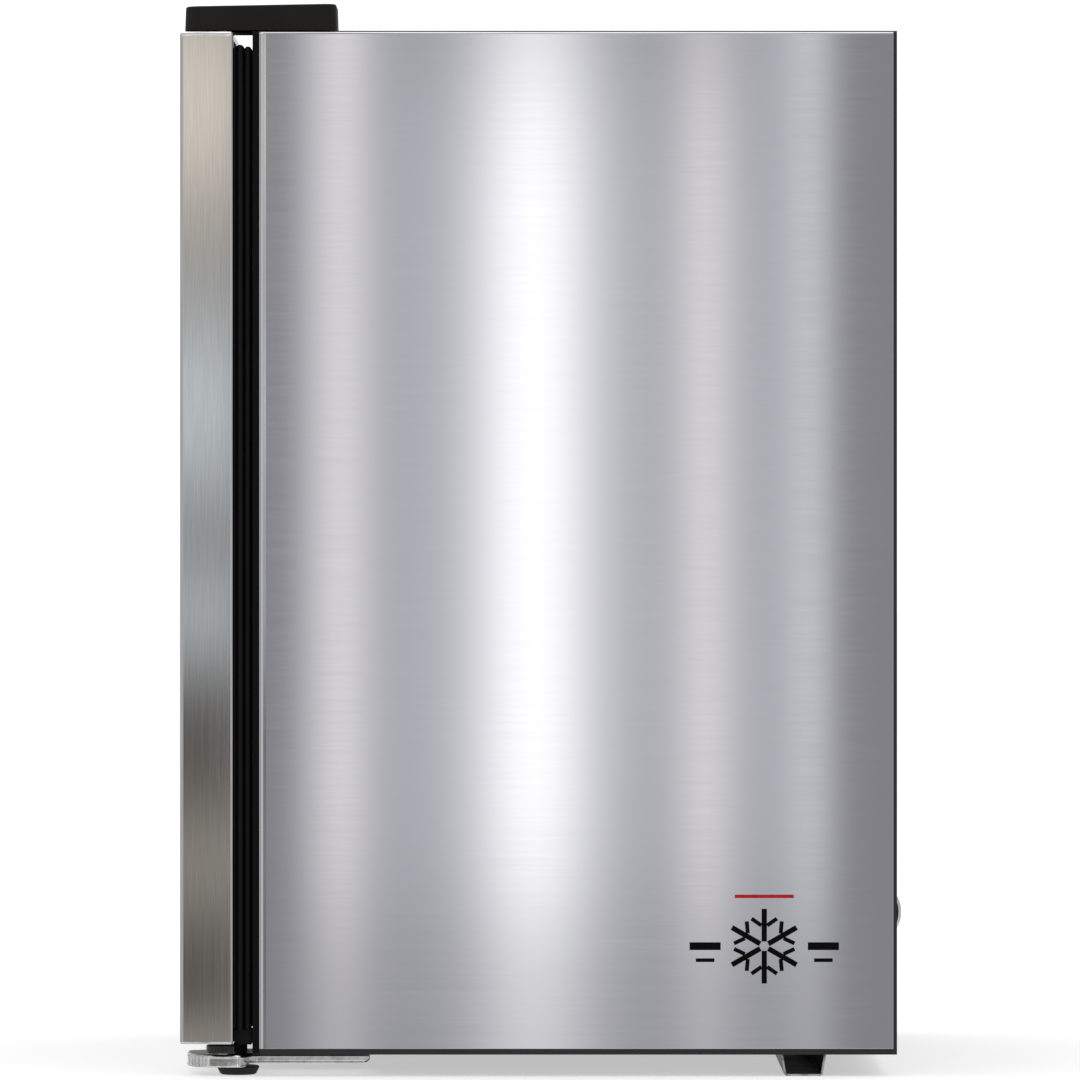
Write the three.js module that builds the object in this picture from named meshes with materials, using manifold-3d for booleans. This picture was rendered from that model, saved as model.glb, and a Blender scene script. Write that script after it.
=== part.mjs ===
// A bar fridge of about 68 litres with a framed, triple-glazed door.
// Millimetres, +Z up. The origin is on the floor under the centre of the whole fridge.
// The door faces -Y and is hinged on the +X side. The compressor bay opens towards +Y.
import * as THREE from "three";
import { mergeVertices } from "three/addons/utils/BufferGeometryUtils.js";
import Module from "manifold-3d";

const wasm = await Module();
wasm.setup();

// ---------- driving dimensions ----------
const WIDTH = 430;
const DEPTH = 465;
const HEIGHT = 690;
const GAP = 0.3; // clearance between pieces that touch on the real fridge
const FRONT = -DEPTH / 2;

// cabinet
const CLAD = 1; // stainless side panel
const SHEET = 0.8; // painted steel shell
const SHELL_X = WIDTH / 2 - CLAD - GAP;
const CABINET = { top: 672.5, bottom: 14.2, back: 228.5, front: FRONT + 51 };
const FRAME_FRONT = FRONT + 46.7; // front face of the black frame that the gasket closes on
const CAVITY = { x: 177, back: 184, bottom: 58, top: 630 };
const LINER = 1.5;
const STEP = { front: 44, top: 228 }; // raised floor of the cavity, over the compressor bay
const BAY = { front: 84, top: 186 };
const BASE = { top: 16.2 };

// door
const DOOR = { thick: 34.3, bottom: 21, top: 671.5, face: 45, sheet: 1 };
const DOOR_HEIGHT = DOOR.top - DOOR.bottom;
const DOOR_MIDDLE = (DOOR.top + DOOR.bottom) / 2;
const PIVOT = { x: WIDTH / 2 - 12, y: FRONT + 27.5 };
const PIN_RADIUS = 4;
const BORE = PIN_RADIUS + GAP;
const BUSH = 5.8;
const GLASS = { edge: 33.3, front: 4.5, panes: [4, 3, 4], space: 8 };
const GRIP = { bottom: 290, top: 430, front: 6.5, back: 28.5, deep: 16, wall: 2 };

// shelves and the rails that carry them
const SHELF = { levels: [240, 370, 500], x: 174, front: -165, back: 165, frame: 2.5, wire: 1.5, wires: 15 };
const RAIL = { deep: 8, high: 5, front: -150, back: 160 };

// machinery
const COMPRESSOR = { x: -10, y: 150, bottom: 30, top: 160, stretch: 1.2 };
const FEET = { radius: 13.7, sole: 11.8, high: 5.5, stud: 4, top: 19.5 };
const RIGHT_FOOT = [188, FRONT + 36.5];
const LEFT_FOOT = [-188, FRONT + 72.5];

// ---------- materials ----------
const material = (color, roughness, metalness, opacity = 1) =>
  new THREE.MeshStandardMaterial({ color, roughness, metalness, opacity, transparent: opacity < 1 });
const MATERIALS = {
  side_steel: material(0xa5a5ab, 0.25, 1),
  door_steel: material(0xa8a6a2, 0.32, 1),
  black_steel: material(0x141415, 0.4, 0.2),
  black_plastic: material(0x161614, 0.5, 0),
  rubber: material(0x0b0b0c, 0.6, 0),
  zinc: material(0xc4c3be, 0.3, 1),
  liner: material(0xe9ebec, 0.4, 0),
  white_plastic: material(0xe4e5e4, 0.45, 0),
  foam: material(0xd9c68f, 0.9, 0),
  glass: material(0xcfd8d6, 0.05, 0, 0.25),
  aluminium: material(0xb9bcc0, 0.35, 1),
  copper: material(0xb26a3f, 0.3, 1),
  chrome: material(0xd0d2d4, 0.12, 1),
  magnet: material(0x2a2a2c, 0.8, 0),
  lens: material(0xf4f7fb, 0.4, 0, 0.8),
};

// ---------- shape helpers ----------
// A closed three.js geometry as a solid that can be cut and joined.
function toSolid(geometry) {
  const loose = geometry.index ? geometry.toNonIndexed() : geometry;
  const bare = new THREE.BufferGeometry().setAttribute("position", loose.getAttribute("position"));
  const merged = mergeVertices(bare, 1e-3);
  return new wasm.Manifold(
    new wasm.Mesh({
      numProp: 3,
      vertProperties: merged.attributes.position.array,
      triVerts: new Uint32Array(merged.index.array),
    }),
  );
}

function toGeometry(solid) {
  const mesh = solid.getMesh();
  return new THREE.BufferGeometry()
    .setAttribute("position", new THREE.BufferAttribute(new Float32Array(mesh.vertProperties), 3))
    .setIndex(new THREE.BufferAttribute(new Uint32Array(mesh.triVerts), 1));
}

const cut = (base, ...tools) =>
  toGeometry(tools.reduce((left, tool) => left.subtract(toSolid(tool)), toSolid(base)));
const join = (first, ...rest) =>
  toGeometry(rest.reduce((sum, piece) => sum.add(toSolid(piece)), toSolid(first)));

function block([x0, x1], [y0, y1], [z0, z1]) {
  const box = new THREE.BoxGeometry(x1 - x0, y1 - y0, z1 - z0);
  return box.translate((x0 + x1) / 2, (y0 + y1) / 2, (z0 + z1) / 2);
}

// A rectangle with round corners, given by its limits.
function roundedRect([x0, x1], [y0, y1], radius) {
  const shape = new THREE.Shape();
  shape.moveTo(x0 + radius, y0);
  shape.lineTo(x1 - radius, y0);
  shape.absarc(x1 - radius, y0 + radius, radius, -Math.PI / 2, 0);
  shape.lineTo(x1, y1 - radius);
  shape.absarc(x1 - radius, y1 - radius, radius, 0, Math.PI / 2);
  shape.lineTo(x0 + radius, y1);
  shape.absarc(x0 + radius, y1 - radius, radius, Math.PI / 2, Math.PI);
  shape.lineTo(x0, y0 + radius);
  shape.absarc(x0 + radius, y0 + radius, radius, Math.PI, Math.PI * 1.5);
  return shape;
}

const polygon = (points) => new THREE.Shape(points.map(([x, y]) => new THREE.Vector2(x, y)));

function extrude(shape, depth, curveSegments = 6) {
  return new THREE.ExtrudeGeometry(shape, { depth, bevelEnabled: false, curveSegments });
}
// The shape's own axes become X and Y, then X and Z, then Y and Z.
const extrudeZ = (shape, [z0, z1], segments) => extrude(shape, z1 - z0, segments).translate(0, 0, z0);
const extrudeY = (shape, [y0, y1], segments) =>
  extrude(shape, y1 - y0, segments).rotateX(Math.PI / 2).translate(0, y1, 0);
const extrudeX = (shape, [x0, x1], segments) =>
  extrude(shape, x1 - x0, segments).rotateY(Math.PI / 2).rotateX(Math.PI / 2).translate(x0, 0, 0);

// A turned piece on a vertical axis at x, y. The profile is a list of [radius, z].
function turned(profile, [x, y] = [0, 0], segments = 16) {
  const points = profile.map(([radius, z]) => new THREE.Vector2(radius, z));
  return new THREE.LatheGeometry(points, segments).rotateX(Math.PI / 2).translate(x, y, 0);
}

function drill([x, y], radius, [z0, z1], segments = 16) {
  return turned([[0, z0], [radius, z0], [radius, z1], [0, z1]], [x, y], segments);
}

// A path whose extrusion steps fall exactly on its points.
class PointPath extends THREE.Curve {
  constructor(points) {
    super();
    this.points = points;
  }
  getPoint(t, target = new THREE.Vector3()) {
    const place = t * (this.points.length - 1);
    const index = Math.min(Math.floor(place), this.points.length - 2);
    return target.lerpVectors(this.points[index], this.points[index + 1], place - index);
  }
  getUtoTmapping(u) {
    return u;
  }
}

// A bent tube or wire through corner points, each corner rounded to the bend radius.
function bentTube(corners, radius, bend, { bendSteps = 4, halfSides = 4 } = {}) {
  const points = corners.map((corner) => new THREE.Vector3(...corner));
  const path = [points[0]];
  for (let i = 1; i < points.length - 1; i += 1) {
    const before = points[i - 1].clone().sub(points[i]);
    const after = points[i + 1].clone().sub(points[i]);
    const reach = Math.min(bend, before.length() * 0.48, after.length() * 0.48);
    const start = points[i].clone().add(before.setLength(reach));
    const end = points[i].clone().add(after.setLength(reach));
    const corner = new THREE.QuadraticBezierCurve3(start, points[i], end);
    path.push(...corner.getPoints(bendSteps));
  }
  path.push(points.at(-1));
  const section = new THREE.Shape().absarc(0, 0, radius, 0, Math.PI * 2);
  return new THREE.ExtrudeGeometry(section, {
    steps: path.length - 1,
    curveSegments: halfSides,
    bevelEnabled: false,
    extrudePath: new PointPath(path),
  });
}

// A rectangular ring that faces -Y, with mitred corners. The profile is a list of [inward, backward].
function ring(profile, [x0, x1], [z0, z1], front) {
  const inOrder = THREE.ShapeUtils.isClockWise(profile.map(([u, v]) => new THREE.Vector2(u, v)));
  const section = inOrder ? profile : [...profile].reverse();
  const corners = [[x0, z0, 1, 1], [x1, z0, -1, 1], [x1, z1, -1, -1], [x0, z1, 1, -1]];
  const positions = corners.flatMap(([x, z, toX, toZ]) =>
    section.flatMap(([u, v]) => [x + toX * u, front + v, z + toZ * u]),
  );
  const count = section.length;
  const index = [];
  for (let side = 0; side < 4; side += 1) {
    for (let i = 0; i < count; i += 1) {
      const a = side * count + i;
      const b = side * count + ((i + 1) % count);
      const c = ((side + 1) % 4) * count + i;
      const d = ((side + 1) % 4) * count + ((i + 1) % count);
      index.push(a, b, c, b, d, c);
    }
  }
  const geometry = new THREE.BufferGeometry();
  geometry.setAttribute("position", new THREE.Float32BufferAttribute(positions, 3));
  geometry.setIndex(index);
  return geometry;
}

const root = new THREE.Group();
const door = new THREE.Group();
root.add(door);

function place(name, geometry, materialName, parent = root) {
  const mesh = new THREE.Mesh(geometry, MATERIALS[materialName]);
  mesh.name = name;
  parent.add(mesh);
}

// ---------- cabinet ----------
const SIDE_PANEL = { front: CABINET.front, back: CABINET.back - 2.4, bottom: 18, top: 671.5 };

function sidePanel(side) {
  const [inner, outer] = [WIDTH / 2 - CLAD, WIDTH / 2];
  const x = side > 0 ? [inner, outer] : [-outer, -inner];
  return block(x, [SIDE_PANEL.front, SIDE_PANEL.back], [SIDE_PANEL.bottom, SIDE_PANEL.top]);
}

// The painted sheet that wraps both sides and the top.
function cabinetShell() {
  const bend = 2;
  const inner = SHELL_X - SHEET;
  const outline = new THREE.Shape();
  outline.moveTo(-SHELL_X, CABINET.bottom);
  outline.lineTo(-inner, CABINET.bottom);
  outline.lineTo(-inner, CABINET.top - SHEET);
  outline.lineTo(inner, CABINET.top - SHEET);
  outline.lineTo(inner, CABINET.bottom);
  outline.lineTo(SHELL_X, CABINET.bottom);
  outline.lineTo(SHELL_X, CABINET.top - bend);
  outline.absarc(SHELL_X - bend, CABINET.top - bend, bend, 0, Math.PI / 2);
  outline.lineTo(bend - SHELL_X, CABINET.top);
  outline.absarc(bend - SHELL_X, CABINET.top - bend, bend, Math.PI / 2, Math.PI);
  const wrap = extrudeY(outline, [CABINET.front + GAP, CABINET.back], 3);
  const holes = HINGE_SCREWS.map((at) => drill(at, 3, [CABINET.top - 2, CABINET.top + 1], 8));
  return cut(wrap, ...holes);
}

const FOAM = { x: SHELL_X - SHEET - GAP, front: CABINET.front + GAP, back: CABINET.back - 3 };
const COIL_SPACE = 6.4; // between the foam and the shell, for the condenser tube

// The space that the liner takes up, grown by a margin on every closed side.
function cavityBlocks(grow, front) {
  const x = [-CAVITY.x - grow, CAVITY.x + grow];
  const upper = [STEP.top - grow, CAVITY.top + grow];
  const lower = [CAVITY.bottom - grow, STEP.top + LINER];
  return [block(x, [front, CAVITY.back + grow], upper), block(x, [front, STEP.front + grow], lower)];
}

const DRAIN = [0, 170];
const SUCTION_GROOVE = { x: [54, 66], front: 214, top: 420 };

function insulation() {
  const x = FOAM.x - COIL_SPACE;
  const body = block([-x, x], [FOAM.front, FOAM.back], [BASE.top + GAP, CABINET.top - SHEET - GAP]);
  const bay = block([-FOAM.x - 1, FOAM.x + 1], [BAY.front - GAP, FOAM.back + 1], [0, BAY.top + 1.5]);
  const drain = drill(DRAIN, 8, [BAY.top, STEP.top + 1], 8);
  const { x: grooveX, front: grooveFront, top: grooveTop } = SUCTION_GROOVE;
  const groove = block(grooveX, [grooveFront, FOAM.back + 1], [BAY.top, grooveTop]);
  const passage = block(grooveX, [CAVITY.back, FOAM.back + 1], [grooveTop - 12, grooveTop]);
  const screwRoom = block([170, 206], [-162, -138], [CABINET.top - 14, CABINET.top]);
  const bracketRoom = block([150, 196], [-175, -112], [BASE.top - 1, BASE.top + 9]);
  const [footX, footY] = LEFT_FOOT;
  const footRoom = block([footX - 8, footX + 8], [footY - 8, footY + 8], [BASE.top - 1, FEET.top + 2]);
  const cavity = cavityBlocks(LINER + GAP, FOAM.front - 1);
  return cut(body, ...cavity, bay, drain, groove, passage, screwRoom, bracketRoom, footRoom);
}

function liner() {
  const walls = cut(join(...cavityBlocks(LINER, FOAM.front)), ...cavityBlocks(0, FOAM.front - 1));
  const rails = SHELF.levels.flatMap((level) =>
    [-1, 1].map((side) => {
      const x = [side * (CAVITY.x - RAIL.deep), side * (CAVITY.x + LINER / 2)].sort((a, b) => a - b);
      const top = level - SHELF.frame - GAP;
      return block(x, [RAIL.front, RAIL.back], [top - RAIL.high, top]);
    }),
  );
  const drain = drill(DRAIN, 6, [STEP.top - 3, STEP.top + 1], 12);
  const [portLow, portHigh] = [SUCTION_GROOVE.top - 11, SUCTION_GROOVE.top - 1];
  const port = block([55, 65], [CAVITY.back - 1, CAVITY.back + 3], [portLow, portHigh]);
  return cut(join(walls, ...rails), drain, port);
}

function frontFrame() {
  const outline = roundedRect([-SHELL_X, SHELL_X], [CABINET.bottom, CABINET.top], 2);
  outline.holes.push(roundedRect([-CAVITY.x, CAVITY.x], [CAVITY.bottom, CAVITY.top], 3));
  return extrudeY(outline, [FRAME_FRONT, CABINET.front], 3);
}

function backPanel() {
  const x = SHELL_X - SHEET - GAP;
  return block([-x, x], [CABINET.back - 2, CABINET.back - 1.2], [BAY.top + 2, CABINET.top - SHEET - GAP]);
}

function bayShield() {
  const sheet = 1.2;
  const back = FOAM.back - GAP;
  const outline = polygon([
    [BAY.front, BASE.top + GAP],
    [BAY.front + sheet, BASE.top + GAP],
    [BAY.front + sheet, BAY.top],
    [back, BAY.top],
    [back, BAY.top + sheet],
    [BAY.front, BAY.top + sheet],
  ]);
  const sheetMetal = extrudeX(outline, [-FOAM.x, FOAM.x]);
  const drain = drill(DRAIN, 8, [BAY.top - 1, BAY.top + 2], 12);
  const suction = block(SUCTION_GROOVE.x, [SUCTION_GROOVE.front, back + 1], [BAY.top - 1, BAY.top + 2]);
  return cut(sheetMetal, drain, suction);
}

function basePlate() {
  const plate = block([-FOAM.x, FOAM.x], [FOAM.front, BAY.front - GAP], [CABINET.bottom, BASE.top]);
  const holes = BRACKET_SCREWS.map((at) => drill(at, 3, [CABINET.bottom - 1, BASE.top + 1], 8));
  return cut(plate, ...holes, drill(LEFT_FOOT, FEET.stud + 2 * GAP, [CABINET.bottom - 1, BASE.top + 1]));
}

// ---------- compressor tray, which is also the rear foot ----------
const CHANNEL = { front: 154, back: 183.3, draft: 2.2, sheet: 1.2 };
const GLAND = { x: -170, z: 34 };

function compressorTray() {
  const { front, back, draft, sheet } = CHANNEL;
  const [start, end] = [BAY.front + 2, FOAM.back - GAP];
  const top = CABINET.bottom + sheet;
  const outline = polygon([
    [start, CABINET.bottom],
    [front, CABINET.bottom],
    [front + draft, 1.2],
    [front + draft + 1.2, 0],
    [back - draft - 1.2, 0],
    [back - draft, 1.2],
    [back, CABINET.bottom],
    [end, CABINET.bottom],
    [end, top],
    [back - sheet, top],
    [back - draft - sheet, 1.4],
    [back - draft - sheet - 0.6, sheet],
    [front + draft + sheet + 0.6, sheet],
    [front + draft + sheet, 1.4],
    [front + sheet, top],
    [start, top],
  ]);
  const plate = extrudeX(outline, [-206, 206]);
  const tab = block([GLAND.x - 20, GLAND.x + 20], [end - sheet, end], [CABINET.bottom + 0.4, 50]);
  const window = block([GLAND.x - 8.3, GLAND.x + 8.3], [end - 3, end + 1], [GLAND.z - 6.3, GLAND.z + 6.3]);
  return cut(join(plate, tab), window);
}

function cordGland() {
  const tab = FOAM.back - GAP;
  const shank = block([GLAND.x - 8, GLAND.x + 8], [tab - 7, tab + 1], [GLAND.z - 6, GLAND.z + 6]);
  const flange = extrudeY(
    roundedRect([GLAND.x - 11, GLAND.x + 11], [GLAND.z - 9, GLAND.z + 9], 3),
    [tab + GAP, tab + 4],
    2,
  );
  const bore = new THREE.CylinderGeometry(3.8, 3.8, 30, 12).translate(GLAND.x, tab, GLAND.z);
  return cut(join(shank, flange), bore);
}

// ---------- cooling circuit ----------
function compressor() {
  const { x, y, bottom, top, stretch } = COMPRESSOR;
  const shell = turned(
    [
      [0, bottom + 3], [42, bottom + 3], [52, bottom + 12], [56, bottom + 26], [56, bottom + 66],
      [59, bottom + 67], [59, bottom + 72], [56, bottom + 73], [55, bottom + 100], [48, top - 12],
      [30, top - 3], [0, top],
    ],
    [0, 0],
    24,
  );
  shell.scale(stretch, 1, 1).translate(x, y, 0);
  const legs = extrudeZ(roundedRect([x - 84, x + 84], [y - 58, y + 58], 12), [bottom, bottom + 4], 3);
  const waists = [-1, 1].map((side) =>
    block([x - 50, x + 50], [y + side * 68 - 18, y + side * 68 + 18], [bottom - 1, bottom + 5]),
  );
  const notches = [-1, 1].map((side) =>
    block([x + side * 84 - 12, x + side * 84 + 12], [y - 32, y + 32], [bottom - 1, bottom + 5]),
  );
  return join(cut(legs, ...waists, ...notches), shell);
}

const GROMMETS = [[-80, 102], [60, 102], [-80, 198], [60, 198]];

function grommet(at) {
  const bottom = CABINET.bottom + CHANNEL.sheet + GAP;
  const top = COMPRESSOR.bottom - GAP;
  const profile = [
    [0, bottom], [10, bottom], [10, bottom + 4], [7.5, bottom + 6], [7.5, top - 3], [9, top], [0, top],
  ];
  return turned(profile, at);
}

function terminalCover() {
  const x = COMPRESSOR.x - 59 * COMPRESSOR.stretch - GAP;
  const box = extrudeX(roundedRect([122, 182], [58, 112], 6), [x - 32, x], 3);
  return cut(box, block([x - 34, x - 20], [160, 190], [50, 70]));
}

function filterDrier() {
  const [bottom, top] = [62, 156];
  return turned(
    [
      [0, bottom - 8], [3, bottom - 8], [3, bottom - 2], [8.5, bottom + 6], [8.5, top - 6], [2, top + 3],
      [2, top + 8], [0, top + 8],
    ],
    [118, 190],
    12,
  );
}

// The return line's outermost bend is the rearmost point of the fridge.
function suctionTube() {
  const radius = 3;
  const back = DEPTH / 2 - radius;
  return bentTube(
    [
      [34, 209, 84], [40, 222, 84], [48, back, 90], [48, back, 113], [60, 219.5, 128], [60, 219.5, 414],
      [60, 180.5, 414],
    ],
    radius,
    9,
  );
}

function dischargeTube() {
  const route = [[62.5, 150, 74], [92, 150, 74], [92, 110, 52], [190, 110, 52], [190, 110, 185.5]];
  return bentTube(route, 3, 14);
}

function evaporationTray() {
  const outer = extrudeZ(roundedRect([-78, 58], [98, 202], 10), [COMPRESSOR.top + GAP, 182], 3);
  const inner = extrudeZ(roundedRect([-76, 56], [100, 200], 8), [COMPRESSOR.top + 2.3, 184], 3);
  return cut(outer, inner);
}

function drainTube() {
  const [bottom, top] = [172, STEP.top - LINER - GAP];
  return turned([[4.8, bottom], [6.6, bottom], [6.6, top], [4.8, top], [4.8, bottom]], DRAIN, 12);
}

// A serpentine of tube against one side of the shell.
function condenserCoil(side) {
  const x = side * (FOAM.x - 2.9);
  const runs = 6;
  const corners = [];
  for (let run = 0; run < runs; run += 1) {
    const z = 260 + (run * 360) / (runs - 1);
    const ends = run % 2 ? [180, -140] : [-140, 180];
    corners.push([x, ends[0], z], [x, ends[1], z]);
  }
  return bentTube(corners, 2.4, 30, { bendSteps: 3, halfSides: 3 });
}

function evaporatorPlate() {
  const [bottom, top] = [330, 604];
  const plate = block([-150, 150], [176, 177.6], [bottom, top]);
  const runs = 7;
  const pitch = (top - bottom - 40) / (runs - 1);
  const channels = [];
  for (let run = 0; run < runs; run += 1) {
    const z = bottom + 20 + run * pitch;
    channels.push(block([-132, 132], [173.6, 176.4], [z - 4, z + 4]));
    const end = run % 2 ? -128 : 128;
    if (run < runs - 1) channels.push(block([end - 4, end + 4], [173.6, 176.4], [z, z + pitch]));
  }
  const spacers = [-110, 110].flatMap((x) =>
    [bottom + 30, top - 30].map((z) => block([x - 5, x + 5], [177, CAVITY.back - 0.4], [z - 5, z + 5])),
  );
  return join(plate, ...channels, ...spacers);
}

// ---------- inside the cavity ----------
const CEILING = CAVITY.top - GAP;
const CONTROL = { x: [66, 164], y: [-98, 14], bottom: 598 };
const KNOB = { x: 138, z: 613, radius: 13 };
const ROCKER = { x: 92, z: 613 };

function shelf(level) {
  const octagon = Array.from({ length: 8 }, (_, i) => {
    const angle = ((i + 0.5) * Math.PI) / 4;
    return [SHELF.frame * (1 + Math.cos(angle)), SHELF.frame * Math.sin(angle)];
  });
  const frame = ring(octagon, [-SHELF.x, SHELF.x], [SHELF.front, SHELF.back], 0);
  frame.rotateX(-Math.PI / 2).scale(1, -1, -1); // the ring's Z becomes Y, and it faces up
  const wires = Array.from({ length: SHELF.wires }, (_, i) => {
    const x = -SHELF.x + ((i + 1) * 2 * SHELF.x) / (SHELF.wires + 1);
    const length = SHELF.back - SHELF.front - 2 * SHELF.frame;
    return new THREE.CylinderGeometry(SHELF.wire, SHELF.wire, length, 6)
      .translate(x, (SHELF.front + SHELF.back) / 2, 0.6);
  });
  const crossbar = new THREE.CylinderGeometry(2, 2, 2 * (SHELF.x - SHELF.frame), 6)
    .rotateZ(Math.PI / 2)
    .translate(0, 0, -0.5);
  return join(frame, ...wires, crossbar).translate(0, 0, level);
}

function thermostatHousing() {
  const { x, y, bottom } = CONTROL;
  const shell = extrudeY(roundedRect(x, [bottom, CEILING], 5), y, 3);
  const hollow = block([x[0] + 2, x[1] - 2], [y[0] + 2, y[1] - 2], [bottom + 2, CEILING + 1]);
  const shaft = new THREE.CylinderGeometry(4, 4, 8, 12).translate(KNOB.x, y[0], KNOB.z);
  const windowZ = [ROCKER.z - 10.5, ROCKER.z + 10.5];
  const window = block([ROCKER.x - 6.4, ROCKER.x + 6.4], [y[0] - 1, y[0] + 3], windowZ);
  return cut(shell, hollow, shaft, window);
}

function thermostatSwitch() {
  const face = CONTROL.y[0];
  const body = block([KNOB.x - 18, KNOB.x + 18], [face + 5, face + 40], [602, 626]);
  const shaft = new THREE.CylinderGeometry(3, 3, 24, 12).translate(KNOB.x, face + 1, KNOB.z);
  return join(body, shaft);
}

function thermostatKnob() {
  const face = CONTROL.y[0];
  const disc = new THREE.CylinderGeometry(KNOB.radius, KNOB.radius - 1.5, 14, 24);
  disc.translate(KNOB.x, face - 8, KNOB.z);
  const pointer = block([KNOB.x - 2, KNOB.x + 2], [face - 18, face - 14], [KNOB.z - 11, KNOB.z + 11]);
  const bore = new THREE.CylinderGeometry(3.3, 3.3, 14, 12).translate(KNOB.x, face - 5, KNOB.z);
  return cut(join(disc, pointer), bore);
}

// The rocker rests with its upper half pushed in.
function lightSwitch() {
  const tilt = (8 * Math.PI) / 180;
  const outline = polygon([[-5.5, -8.5], [3, -6], [3, 6], [-5.5, 8.5], [-4.1, 0]]);
  return extrudeX(outline, [-5.8, 5.8]).rotateX(-tilt).translate(ROCKER.x, CONTROL.y[0] + 3, ROCKER.z);
}

const LIGHT = { x: 150, y: [-172, -152], bottom: 616 };

function lightHousing() {
  const { x, y, bottom } = LIGHT;
  const bar = block([-x, x], y, [bottom, CEILING]);
  return cut(bar, block([2 - x, x - 2], [y[0] + 2, y[1] - 2], [bottom - 1, CEILING - 2]));
}

function lightLens() {
  const { x, y, bottom } = LIGHT;
  return block([2.3 - x, x - 2.3], [y[0] + 2.3, y[1] - 2.3], [bottom - 1.5, bottom + 2]);
}

// ---------- hinges ----------
const HINGE_SCREWS = [[179, -150], [198, -150]];
const BRACKET_SCREWS = [[170, -160], [170, -125]];
const TOP_PLATE = { bottom: CABINET.top + GAP, top: CABINET.top + GAP + 3 };
const BRACKET = { top: 13.9, sheet: 2.8, lip: 2.4 };
const SCREW = { shank: 2.4, head: 4.6, high: 2.6 };

function screw(at, head, tip) {
  const up = Math.sign(head - tip);
  const crown = head + up * SCREW.high;
  const profile = [
    [0, tip], [SCREW.shank, tip], [SCREW.shank, head], [SCREW.head, head], [SCREW.head - 0.4, crown], [0, crown],
  ];
  return turned(up > 0 ? profile : profile.reverse(), at, 12);
}

function topHingePlate() {
  const end = 11;
  const outline = new THREE.Shape();
  outline.moveTo(170, -138);
  outline.lineTo(170, -172);
  outline.lineTo(PIVOT.x - end, -186);
  outline.lineTo(PIVOT.x - end, PIVOT.y);
  outline.absarc(PIVOT.x, PIVOT.y, end - 3.5, Math.PI, 0);
  outline.lineTo(208, -172);
  outline.lineTo(208, -138);
  const plate = extrudeZ(outline, [TOP_PLATE.bottom, TOP_PLATE.top], 6);
  const through = [TOP_PLATE.bottom - 1, TOP_PLATE.top + 1];
  const holes = HINGE_SCREWS.map((at) => drill(at, SCREW.shank + 0.5, through, 12));
  return cut(plate, ...holes, drill([PIVOT.x, PIVOT.y], BORE, through));
}

const PIN_HEAD = 2.2;

function topHingePin() {
  const head = TOP_PLATE.top + GAP;
  const tip = DOOR.top - 14.5;
  return turned(
    [
      [0, tip], [PIN_RADIUS - 1, tip], [PIN_RADIUS, tip + 1], [PIN_RADIUS, head], [6.5, head],
      [6, head + PIN_HEAD], [0, head + PIN_HEAD],
    ],
    [PIVOT.x, PIVOT.y],
  );
}

// The moulded cap over the top hinge. Its top rises slightly towards the back.
function hingeCover() {
  const [x0, x1] = [163, 213];
  const [y0, y1] = [FRONT + 3, FRONT + 101];
  const bottom = CABINET.top + GAP;
  const rise = 1.8;
  const slope = (geometry, top) => {
    const places = geometry.getAttribute("position");
    for (let i = 0; i < places.count; i += 1) {
      if (places.getZ(i) > bottom + 1) places.setZ(i, top - (rise * (y1 - places.getY(i))) / (y1 - y0));
    }
    return geometry;
  };
  const outer = slope(extrudeZ(roundedRect([x0, x1], [y0, y1], 8), [bottom, HEIGHT - 2], 6), HEIGHT);
  const wall = 2;
  const inside = roundedRect([x0 + wall, x1 - wall], [y0 + wall, y1 - wall], 6);
  const inner = slope(extrudeZ(inside, [bottom - 1, HEIGHT - 4], 6), HEIGHT - wall);
  return cut(outer, inner);
}

// The lower bracket: a plate under the base that reaches forward below the door, with a lip turned down
// along its outer and front edges.
function bottomHingeBracket() {
  const outline = (inset) => {
    const shape = new THREE.Shape();
    shape.moveTo(150 - inset, -114.7 + inset);
    shape.lineTo(150 - inset, -196);
    shape.lineTo(166, FRONT + 3 + inset);
    shape.lineTo(176, FRONT + 3 + inset);
    shape.bezierCurveTo(198, FRONT + 3 + inset, 211 - inset, FRONT + 8, 211 - inset, FRONT + 20);
    shape.lineTo(211 - inset, -196);
    shape.bezierCurveTo(211 - inset, -188, 196 - inset, -192, 196 - inset, -183);
    shape.lineTo(196 - inset, -114.7 + inset);
    if (inset === 0) shape.absarc(192, -114.7, 4, 0, Math.PI / 2);
    else shape.lineTo(196 - inset, -100);
    shape.lineTo(150 - inset, inset === 0 ? -110.7 : -100);
    return shape;
  };
  const body = extrudeZ(outline(0), [5.7, BRACKET.top], 6);
  const under = extrudeZ(outline(BRACKET.lip), [4, BRACKET.top - BRACKET.sheet], 6);
  const openSide = block([140, 166], [FRONT - 1, -100], [4, BRACKET.top - BRACKET.sheet]);
  const shallow = block([140, 220], [-187, -100], [4, 7.4]);
  const pinHole = drill([PIVOT.x, PIVOT.y], BORE, [0, 20]);
  const footHole = drill(RIGHT_FOOT, FEET.stud + GAP, [0, 20]);
  const screwHoles = BRACKET_SCREWS.map((at) => drill(at, SCREW.shank + 0.5, [0, 20], 12));
  return cut(body, under, openSide, shallow, pinHole, footHole, ...screwHoles);
}

function bottomHingePin() {
  const head = BRACKET.top - BRACKET.sheet - GAP;
  const tip = DOOR.bottom + 11.5;
  return turned(
    [
      [0, head - PIN_HEAD], [4.9, head - PIN_HEAD], [5.2, head], [PIN_RADIUS, head], [PIN_RADIUS, tip - 1],
      [PIN_RADIUS - 1, tip], [0, tip],
    ],
    [PIVOT.x, PIVOT.y],
  );
}

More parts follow.
